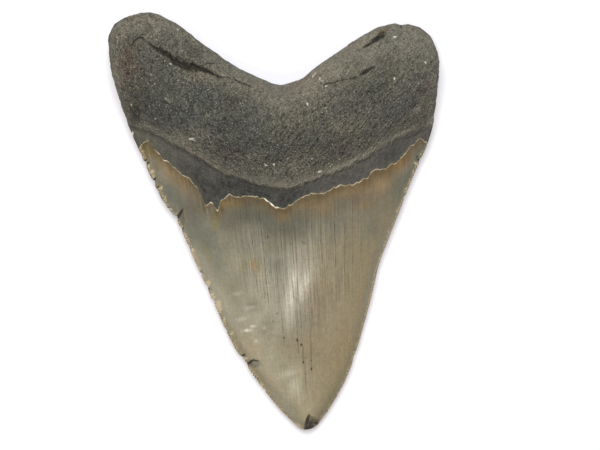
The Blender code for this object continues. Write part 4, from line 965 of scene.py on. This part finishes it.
class Surface:
    # a material's node tree, with the few things that every finish of the tooth asks for

    def __init__(self, name):
        self.material = bpy.data.materials.new(name)
        self.material.use_nodes = True
        self.tree = self.material.node_tree
        self.shader = self.tree.nodes["Principled BSDF"]
        # object coordinates in millimetres, so that a scale of 1 is one feature a millimetre
        self.place = self.add("enlarged", self.add("position"), 1 / mm)

    def add(self, kind, *values, **settings):
        # a value is a number, a hex colour or the output of another node
        nodeType, usual, inputs, output = nodeKinds[kind]
        node = self.tree.nodes.new("ShaderNode" + nodeType)
        for name, value in {**usual, **settings}.items():
            setattr(node, name, value)
        for name, value in zip(inputs, values):
            if isinstance(value, bpy.types.NodeSocket):
                self.tree.links.new(value, node.inputs[name])
            else:
                node.inputs[name].default_value = linear(value) if isinstance(value, str) else value
        return node.outputs[output]

    def grained(self, size, detail=3.0, rough=0.55, stretch=(1, 1, 1), at=None):
        # an uneven pattern with features of about this size in millimetres
        place = self.add("stretched", at or self.place, [1 / (size * s) for s in stretch])
        return self.add("noise", place, detail, rough, 1.0)

    def cracks(self, at, spacing, width):
        # dark lines at uneven distances along one coordinate: 1 on a line, 0 between
        fromLine = self.add("toBorder", self.add("times", at, 1.0 / spacing), 1.0)
        return self.add("between", fromLine, width / spacing, 0.3 * width / spacing)

    def layers(self, colour, steps):
        # one colour after another laid over the first, each with its mask and strength
        for mask, strength, over in steps:
            colour = self.add("mix", self.add("times", mask, strength), colour, over)
        return colour

    def finish(self, look, colour, rough, bumps):
        normal = self.add("bump", bumps, 1.0, look["bump"] * mm)
        for name, socket in (("Base Color", colour), ("Roughness", rough), ("Normal", normal)):
            self.tree.links.new(socket, self.shader.inputs[name])
        self.shader.inputs["IOR"].default_value = look["ior"]
        self.shader.inputs["Specular IOR Level"].default_value = look["gloss"]
        return self.material


enamelFinish = {
    "tip": "#a89c7b", "middle": "#9c947c", "neck": "#615e4f",
    "warm": "#978765", "pale": "#c2b99e", "blue": "#6b766b", "olive": "#8a814d",
    "stain": "#6c5630", "rust": "#5b4a2e", "cloudsAndPaintedShade": "#4d4a3b", "paleCloudsAndHighlight": "#d2c9ae",
    "ochre": "#a07a3e", "rubsAndHighlight": "#ece6d0", "lip": "#a79c80", "bright": "#f6ecd0",
    "crack": "#453f30", "pitsAndFlakeShadow": "#2b261c", "scar": "#5f5d4f",
    "edge": "#8c7a5a", "bead": "#ccb88f", "gap": "#4a3a24", "inside": "#777b64",
    "streak": "#9c9c9c", "mottleShade": "#b4b4b2", "clear": "#ffffff",
    "rough": 0.35, "ior": 1.6, "gloss": 0.4,
    # sizes in millimetres
    "clouds": 15.0, "patches": 5.0, "flecks": 0.9, "crumbs": 0.38, "rimWear": 2.0, "polish": 2.5,
    "mottle": ((0.5, 2.0), (1.3, 3.0)),  # two sizes, each with its detail
    "fibres": (0.45, 12.0, 1.0),  # width and length of the streaks
    "fineCracks": (1.15, 0.12), "boldCracks": (2.9, 0.14),  # spacing and width
    "sway": 16.0, "wobble": 2.5,  # how far apart the bends in a crack are
    # width and length of the noise that ends the cracks, and of the one that breaks them up
    "crackReach": (1.3, 16.0, 1.0), "crackBreaks": (0.8, 2.6, 1.0),
    "cracksLeft": (-17.0, -9.0), "cracksRight": (29.0, 19.0),  # where they fade in, from each side
    "cracksDownTo": -31.0,
    "bump": 0.07,  # depth of the fine relief
}


def fossilEnamel():
    # Enamel: fluorapatite grown in fine upright bundles, then stained and polished in silt.
    # It gives a semi-gloss olive grey, clouded, and cracked down its length.
    look = enamelFinish
    s = Surface("fossil_enamel")
    fieldsUsed = (
        "alongCrown", "side", "rim", "bundle", "enamel", "lip", "deep", "clean", "serrated",
        "paleCloudsAndHighlight", "blue", "olive", "cloudsAndPaintedShade", "ochre", "bright", "rubsAndHighlight", "scar", "bead", "pitsAndFlakeShadow",
    )
    field = {name: s.add("field", attribute_name=name) for name in fieldsUsed}
    along, side, rimDistance, bundle = (field[n] for n in ("alongCrown", "side", "rim", "bundle"))
    fromEdge, lip = field["enamel"], field["lip"]
    height = s.add("y", s.place)
    upright = s.add("at", bundle, height)
    broad = s.grained(look["clouds"], 3.0)
    patches = s.grained(look["patches"], 4.0, 0.62)
    flecks = s.grained(look["flecks"], 2.0)
    fibres = s.grained(1.0, 3.0, 0.5, look["fibres"], upright)
    # cracks: where across the crown they can be, and how far down each goes
    sway = s.add("plus", s.grained(look["sway"], 2.0), -0.5)
    sway = s.add("plus", sway, s.add("times", s.grained(look["wobble"], 2.0), 0.3))
    inCracks = s.add(
        "times", s.add("between", bundle, *look["cracksLeft"]),
        s.add("between", bundle, *look["cracksRight"])
    )
    reach = s.grained(1.0, 2.0, 0.5, look["crackReach"], upright)
    offMiddle = s.add("size", s.add("plus", bundle, -6.0))
    bottom = s.add("plus", look["cracksDownTo"], s.add("times", offMiddle, 0.75))
    lowest = s.add("plus", height, s.add("times", reach, 16.0))
    aboveEnd = s.add("between", lowest, s.add("plus", bottom, 4.0), s.add("plus", bottom, 12.0))
    inCracks = s.add("times", inCracks, aboveEnd)
    inCracks = s.add("times", inCracks, s.add("between", fromEdge, 2.0, 6.0))
    breaks = s.grained(1.0, 2.0, 0.5, look["crackBreaks"], upright)
    broken = s.add("plus", 0.35, s.add("between", breaks, 0.3, 0.62))
    fine = s.cracks(s.add("plus", bundle, sway), *look["fineCracks"])
    fine = s.add("times", fine, s.add("between", reach, 0.3, 0.55))
    bold = s.cracks(s.add("plus", bundle, s.add("plus", sway, 0.6)), *look["boldCracks"])
    bold = s.add("times", bold, s.add("between", reach, 0.34, 0.5))
    cracked = s.add("times", s.add("plus", s.add("times", fine, 0.5), s.add("times", bold, 0.5)), broken)
    cracked = s.add("larger", s.add("times", cracked, inCracks), s.add("times", field["deep"], broken))

    colour = s.add(
        "mix", s.add("between", s.add("plus", along, s.add("times", patches, 0.2)), 0.1, 0.6),
        look["tip"], look["middle"]
    )
    sideways = s.add("plus", side, s.add("plus", broad, -0.5))
    warmth = s.add("between", sideways, 0.0, 0.9)
    paleness = s.add("times", s.add("between", sideways, 0.0, -0.6), s.add("between", along, 0.75, 0.4))
    atNeck = s.add("between", s.add("plus", fromEdge, s.add("times", patches, 5.0)), 17.5, 6.0)
    rimNoise = s.grained(look["rimWear"], 3.0, 0.6)
    leftward = s.add("between", side, 0.1, -0.5)
    rimReach = s.add("plus", 1.2, s.add("times", leftward, 2.2))
    rimReach = s.add("plus", 0.5, s.add("times", s.add("plus", rimNoise, -0.4), rimReach))
    nearRim = s.add("between", s.add("plus", rimDistance, s.add("times", rimReach, -1.0)), 0.4, 0.0)
    nearRim = s.add("times", nearRim, s.add("plus", 1.0, s.add("times", field["clean"], -0.7)))
    insideRim = s.add("between", s.add("plus", rimDistance, s.add("times", patches, 2.0)), 4.4, 1.6)
    drip = s.add("plus", fromEdge, s.add("times", s.add("plus", fibres, -0.5), 7.0))
    streaky = s.add("between", s.add("plus", patches, s.add("times", fibres, 0.9)), 0.55, 1.1)
    stained = s.add("times", s.add("between", drip, 4.6, 0.8), streaky)
    stained = s.add("times", stained, s.add("plus", 1.0, s.add("times", field["clean"], -0.9)))
    patchy = s.add("between", s.add("plus", patches, s.add("times", fibres, 0.6)), 0.45, 0.85)
    rusty = s.add("times", s.add("between", drip, 1.9, 0.2), patchy)
    crumbs = s.grained(look["crumbs"], 2.0, 0.6)
    # the points of the serrations are painted pale and the valleys between them dark: painted highlight on
    # the points and painted shade in the valleys
    beadColour = s.add("mix", s.add("between", flecks, 0.35, 0.6), look["edge"], look["bead"])
    beads = s.add("between", s.add("plus", field["serrated"], s.add("times", crumbs, 1.3)), 0.45, 0.85)
    gaps = s.add(
        "times", s.add("between", field["serrated"], 0.05, -0.25),
        s.add("between", rimNoise, 0.25, 0.5)
    )
    colour = s.layers(colour, [
        (warmth, 0.75, look["warm"]), (paleness, 0.7, look["pale"]), (atNeck, 0.88, look["neck"]),
        # paler clouds, in part a painted highlight beside the crown's sheen
        (s.add("times", field["paleCloudsAndHighlight"], s.add("plus", patches, 0.3)), 0.4, look["paleCloudsAndHighlight"]),
        (s.add("times", field["blue"], s.add("plus", patches, 0.4)), 0.6, look["blue"]),
        (s.add("times", field["olive"], s.add("plus", patches, 0.4)), 0.8, look["olive"]),
        (insideRim, 0.4, look["inside"]), (stained, 0.8, look["stain"]), (rusty, 0.7, look["rust"]),
        # darker clouds, in part painted shade around the crown's highlight and by the neck
        (s.add("times", field["cloudsAndPaintedShade"], s.add("plus", patches, 0.3)), 0.4, look["cloudsAndPaintedShade"]),
        (s.add("times", field["ochre"], s.add("plus", fibres, 0.35)), 0.75, look["ochre"]),
    ])
    streaks = s.add("mix", s.add("between", fibres, 0.25, 0.75), look["streak"], look["clear"])
    colour = s.add("darken", s.add("plus", 0.2, s.add("times", inCracks, 0.3)), colour, streaks)
    fineMottle, wideMottle = (s.grained(size, detail) for size, detail in look["mottle"])
    mottle = s.add("plus", s.add("times", fineMottle, 0.6), s.add("times", wideMottle, 0.4))
    mottled = s.add("mix", s.add("between", mottle, 0.3, 0.7), look["mottleShade"], look["clear"])
    colour = s.add("darken", 0.45, colour, mottled)
    # a pale line painted along the enamel's broken step: a painted highlight on its edge, wider and
    # brighter at the bright marks
    lipWidth = s.add("plus", 0.01, s.add("times", field["bright"], 0.38))
    fromLip = s.add("plus", fromEdge, s.add("times", lip, -1.0))
    onLip = s.add("between", fromLip, lipWidth, s.add("times", lipWidth, 0.4))
    # pale rubs, and the painted highlight down the middle of the crown, streaked by the fibres
    scratched = s.add("between", s.add("plus", fibres, s.add("times", flecks, 0.5)), 0.5, 0.95)
    rubsAndHighlightMask = s.add("times", field["rubsAndHighlight"], s.add("plus", 0.45, scratched))
    uneven = s.add("plus", 0.1, s.add("plus", patches, s.add("times", flecks, 0.5)))
    scars = s.add("between", s.add("times", field["scar"], uneven), 0.2, 1.2)
    beadCover = s.add("times", field["bead"], s.add("plus", s.add("times", crumbs, 2.0), -0.45))
    beadCover = s.add("between", beadCover, 0.2, 0.55)
    # dark pits and fillings, with painted shadow on the shaded sides of the flakes
    pitShadowGrain = s.add("plus", 0.35, s.add("plus", patches, s.add("times", flecks, 0.4)))
    pitsAndFlakeShadowMask = s.add("between", s.add("times", field["pitsAndFlakeShadow"], pitShadowGrain), 0.2, 0.8)
    glint = s.add("plus", 0.4, s.add("times", flecks, 0.8))
    colour = s.layers(colour, [
        (rubsAndHighlightMask, 0.75, look["rubsAndHighlight"]), (cracked, 0.7, look["crack"]), (scars, 0.85, look["scar"]),
        (nearRim, s.add("plus", 0.5, s.add("times", leftward, 0.2)), look["edge"]),
        (s.add("times", nearRim, beads), 0.7, beadColour),
        (beadCover, 0.95, look["bead"]), (gaps, 0.85, look["gap"]), (pitsAndFlakeShadowMask, 0.95, look["pitsAndFlakeShadow"]),
        (onLip, 0.7, look["edge"]), (onLip, s.add("between", flecks, 0.42, 0.6), look["lip"]),
        (s.add("times", onLip, field["bright"]), glint, look["bright"]),
    ])
    rough = s.add("plus", look["rough"] - 0.1, s.add("times", s.grained(look["polish"], 4.0, 0.65), 0.2))
    # duller at the neck, in the clouds and towards the tip than on the rise of the crown
    dull = s.add("plus", s.add("times", atNeck, 0.45), s.add("times", field["cloudsAndPaintedShade"], 0.25))
    dull = s.add("plus", dull, s.add("times", s.add("between", height, -22.0, -34.0), 0.4))
    rough = s.add("smaller", s.add("plus", rough, dull), 0.95)
    bumps = s.add("plus", s.add("times", fibres, 0.4), s.add("times", mottle, 0.3))
    bumps = s.add("minus", bumps, s.add("times", cracked, 0.8))
    return s.finish(look, colour, rough, bumps)


dentineFinish = {
    "dark": "#46453d", "olive": "#757262", "grey": "#6b6b62", "pale": "#aaa48e", "brown": "#757060",
    "rubsAndPaintedLight": "#a09883", "slate": "#5b605f", "bourlette": "#242421", "bourletteGrey": "#4d4c46",
    "ledge": "#7d786d", "teal": "#4a5149", "pit": "#1f1e19", "speck": "#eae5ce", "ochre": "#7a5238",
    "hollows": "#5d5d5d", "clear": "#ffffff",
    "rootRough": 0.85, "bourletteRough": 0.75, "ior": 1.45, "gloss": 0.3,
    # sizes in millimetres
    "grain": 0.5, "leather": 1.5, "fine": 0.3, "patches": 9.0, "blots": 2.6,
    "grit": 0.42, "creamCrumbs": 0.7,
    "wrinkles": (0.85, 2.4, 1.0), "growth": (0.45, 3.2, 1.0),  # width and length
    "halfWidth": 45.0,  # of the tooth, for the lines of growth in the bourlette
    "bump": 2.0,  # depth of the fine relief
}


def fossilDentine():
    # Root: porous bone-like dentine turned to phosphate, its skin worn off by sand; matt and
    # leathery, olive grey with dark pores. Below its ridge lies the bourlette, a thin smooth
    # skin where enamel never grew, dyed nearly black by manganese, with a satin finish.
    look = dentineFinish
    s = Surface("fossil_dentine")
    fieldsUsed = (
        "ridge", "crest", "side", "rubsAndPaintedLight", "rim", "blue", "ochre", "enamel", "darkRootClouds", "cream",
        "dark", "fissure",
    )
    field = {name: s.add("field", attribute_name=name) for name in fieldsUsed}
    ridge, crest, across = field["ridge"], field["crest"], field["side"]
    leftEnd = s.add("between", across, -0.55, -0.95)
    grain = s.grained(look["grain"], 2.0, 0.6, (1.0, 1.2, 1.0))
    coarse = s.grained(look["leather"], 3.0, 0.6, (0.9, 1.4, 1.0))
    # towards the right the skin is leathery, with wrinkles that climb to the upper right
    x, y = s.add("x", s.place), s.add("y", s.place)
    aside = s.add("plus", s.add("times", x, 0.8), s.add("times", y, -0.6))
    uphill = s.add("plus", s.add("times", x, 0.6), s.add("times", y, 0.8))
    wrinkles = s.grained(1.0, 2.0, 0.55, look["wrinkles"], s.add("at", aside, uphill))
    leathery = s.add("times", s.add("between", across, -0.45, 0.05), 0.75)
    plain = s.add("plus", 1.0, s.add("times", leathery, -1.0))
    coarse = s.add("plus", s.add("times", coarse, plain), s.add("times", wrinkles, leathery))
    fine = s.grained(look["fine"], 1.0, 0.6)
    patches = s.grained(look["patches"], 4.0, 0.6)
    blots = s.grained(look["blots"], 4.0, 0.6)
    alongRidge = s.add("at", ridge, s.add("times", across, look["halfWidth"]))
    growth = s.grained(1.0, 3.0, 0.6, look["growth"], alongRidge)
    toRoot = s.add("plus", ridge, s.add("times", s.add("plus", blots, -0.5), 1.6))
    toRoot = s.add("between", toRoot, -0.7, 0.5)
    calm = s.add("between", ridge, 5.0, 0.5)  # the root is smoother just above its ridge

    # painted shade and light: darker where the relief sinks and paler on its crests, over the root's own
    # grain
    tone = s.add("plus", s.add("times", grain, 0.45), s.add("times", coarse, 0.35))
    tone = s.add("plus", tone, s.add("times", fine, 0.2))
    tone = s.add("mix", s.add("between", tone, 0.32, 0.68), look["hollows"], look["clear"])
    root = s.add("mix", s.add("between", patches, 0.36, 0.62), look["olive"], look["grey"])
    # painted light: the basal side past the crest is painted paler, as it slopes towards the lamp
    high = s.add("between", s.add("plus", crest, s.add("times", patches, 6.0)), -4.0, 6.0)
    root = s.layers(root, [
        (s.add("between", blots, 0.48, 0.72), 0.3, look["dark"]), (high, 0.5, look["pale"]),
        (s.add("times", calm, s.add("between", blots, 0.25, 0.55)), 0.75, look["brown"]),
        # pale rubs, in part painted light on the rims and slopes that turn from the lamp
        (s.add("times", field["rubsAndPaintedLight"], s.add("plus", blots, 0.2)), 0.75, look["rubsAndPaintedLight"]),
        # painted light: paler towards the rim, where the rounded edge turns from the lamp
        (s.add("between", field["rim"], 4.5, 0.3), 0.35, look["rubsAndPaintedLight"]),
        (s.add("times", field["blue"], s.add("plus", blots, 0.2)), 0.55, look["slate"]),
        (s.add("times", field["ochre"], blots), 0.9, look["ochre"]),
    ])
    growth = s.add("plus", s.add("times", growth, 0.6), s.add("times", coarse, 0.4))
    low = s.add("mix", s.add("between", growth, 0.34, 0.7), look["bourlette"], look["bourletteGrey"])
    # painted light: the bourlette is painted greyer in a band along the ridge, where its slope turns from
    # the lamp
    litBelowRidge = s.add("between", s.add("plus", ridge, s.add("times", blots, 1.5)), -2.2, 0.6)
    byEnamel = s.add("between", field["enamel"], -1.4, -0.2)
    byEnamel = s.add("times", byEnamel, s.add("between", blots, 0.35, 0.6))
    low = s.layers(low, [
        (litBelowRidge, 0.55, look["bourletteGrey"]), (byEnamel, 0.5, look["teal"]),
        (s.add("between", s.add("size", across), 0.25, 0.8), 0.45, look["bourletteGrey"]),
        (s.add("between", across, 0.05, 0.35), 0.32, look["ledge"]),
        (leftEnd, 0.6, look["olive"]), (field["rubsAndPaintedLight"], 0.3, look["ledge"]),
    ])
    # a paler line on the lip of the ridge: thin at the left and a broad band at the right
    lipWidth = s.add("plus", 0.3, s.add("times", s.add("between", across, -0.45, 0.2), 0.6))
    fromLip = s.add("size", s.add("plus", ridge, -0.35))
    onLip = s.add("between", fromLip, lipWidth, s.add("times", lipWidth, 0.3))
    # painted shadow in a band just under the ridge's lip
    under = s.add("between", s.add("size", s.add("plus", ridge, 0.75)), 0.6, 0.15)
    colour = s.add("mix", toRoot, low, root)
    colour = s.add("mix", s.add("times", field["darkRootClouds"], s.add("plus", blots, 0.1)), colour, look["dark"])
    calmer = s.add(
        "plus", s.add("times", calm, -0.4),
        s.add("times", high, s.add("times", s.add("between", across, -0.3, 0.2), -0.22))
    )
    toneShare = s.add("plus", 0.55, s.add("times", toRoot, s.add("plus", 0.45, calmer)))
    colour = s.add("darken", toneShare, colour, tone)
    paleRidgeLip = s.add("times", onLip, s.add("plus", 0.2, s.add("between", blots, 0.35, 0.6)))
    colour = s.layers(colour, [
        # painted shadow under the ridge, fading out towards the right
        (s.add("times", under, s.add("between", across, 0.3, -0.2)), 0.12, look["bourlette"]),
        (paleRidgeLip, 0.45, look["ledge"]),
    ])
    grit = s.add(
        "times", s.add("between", s.grained(look["grit"], 1.0), 0.63, 0.74),
        s.add("between", blots, 0.3, 0.55)
    )
    # dark pits in the lowest hollows of the relief, in part painted shade
    pits = s.add("between", grain, 0.3, 0.22)
    cream = s.add("times", field["cream"], s.add("plus", 0.4, s.grained(look["creamCrumbs"], 2.0)))
    cream = s.add("between", cream, 0.25, 0.7)
    pitted = s.add("plus", s.add("times", grain, 1.2), s.add("times", coarse, 0.8))
    # painted shade down the clefts and in the dents and hollow, broken up by the grain
    cleft = s.add("times", field["dark"], s.add("plus", -1.0, s.add("times", pitted, 1.6)))
    cleft = s.add("between", cleft, 0.1, 0.6)
    # dark cracks, and painted shade in the hollow by the right lobe
    cracks = s.add("between", s.add("times", field["fissure"], s.add("plus", -0.15, pitted)), 0.25, 0.7)
    colour = s.layers(colour, [
        (s.add("times", pits, toRoot), 0.35, look["pit"]),
        (s.add("times", grit, toRoot), 0.4, look["speck"]),
        (cleft, s.add("plus", 0.35, s.add("times", coarse, 0.8)), look["pit"]),
        (cracks, 0.85, look["pit"]), (cream, 0.85, look["speck"]),
    ])
    rough = s.add(
        "plus", look["bourletteRough"],
        s.add("times", toRoot, look["rootRough"] - look["bourletteRough"])
    )
    rough = s.add("plus", rough, s.add("times", s.add("plus", fine, -0.5), 0.3))
    bumps = s.add("plus", s.add("times", grain, 0.5), s.add("times", coarse, 0.9))
    rootShare = s.add("times", toRoot, s.add("plus", 0.65, s.add("times", calm, -0.3)))
    bumps = s.add("times", bumps, s.add("plus", 0.35, rootShare))
    return s.finish(look, colour, rough, bumps)


toothData = makeToothMesh(skin)
for made in (fossilEnamel(), fossilDentine()):
    toothData.materials.append(made)
toothSurface = bpy.data.objects.new("tooth_surface", toothData)
bpy.context.collection.objects.link(toothSurface)
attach(toothSurface, "root")
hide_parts("tooth")
print("tooth finished:", len(toothData.polygons), "faces")

studio = {
    "cameraAt": (7.68, -0.78, 450.0), "lens": 90.0, "sensor": 36.0,
    "clip": (0.01, 10.0),  # metres
    "floor": "#f4f3f6", "floorSize": 1600.0, "floorRough": 0.9,
    "floorDrop": 0.05,  # just under the tooth, so that the two faces never coincide
    "aimAt": (0.0, 0.0, 10.0),
    "sky": "#eef0f5", "skyStrength": 0.25,
    # name, place, size, power in watts, colour; each looks at aimAt
    "lamps": [
        ("key", (-20.0, 200.0, 600.0), 420.0, 4.3, "#fbfcff"),
        ("top", (-8.0, -185.0, 560.0), 60.0, 0.8, "#fff8ec"),
    ],
}


def makeStudio():
    size = studio["floorSize"] * mm
    data = bpy.data.meshes.new("floor")
    corners = [(-size, -size, 0), (size, -size, 0), (size, size, 0), (-size, size, 0)]
    drop = studio["floorDrop"] * mm
    data.from_pydata([(x, y, z - drop) for x, y, z in corners], [], [(0, 1, 2, 3)])
    floor = bpy.data.objects.new("floor", data)
    bpy.context.collection.objects.link(floor)
    paper = bpy.data.materials.new("matt_paper")
    paper.use_nodes = True
    shader = paper.node_tree.nodes["Principled BSDF"]
    shader.inputs["Base Color"].default_value = linear(studio["floor"])
    shader.inputs["Roughness"].default_value = studio["floorRough"]
    data.materials.append(paper)

    world = bpy.data.worlds.new("soft_daylight")
    world.use_nodes = True
    background = world.node_tree.nodes["Background"]
    background.inputs["Color"].default_value = linear(studio["sky"])
    background.inputs["Strength"].default_value = studio["skyStrength"]
    bpy.context.scene.world = world

    for name, place, width, power, colour in studio["lamps"]:
        lamp = bpy.data.lights.new(name, "AREA")
        lamp.size, lamp.energy, lamp.color = width * mm, power, linear(colour)[:3]
        holder = bpy.data.objects.new(name, lamp)
        holder.location = [v * mm for v in place]
        aim = Vector(studio["aimAt"]) * mm - holder.location
        holder.rotation_euler = aim.to_track_quat("-Z", "Y").to_euler()
        bpy.context.collection.objects.link(holder)

    camera = bpy.data.cameras.new("camera")
    camera.lens, camera.sensor_width = studio["lens"], studio["sensor"]
    camera.clip_start, camera.clip_end = studio["clip"]
    holder = bpy.data.objects.new("camera", camera)
    holder.location = [v * mm for v in studio["cameraAt"]]
    bpy.context.collection.objects.link(holder)
    bpy.context.scene.camera = holder
    bpy.context.scene.view_settings.view_transform = "Standard"


makeStudio()
print("studio ready")
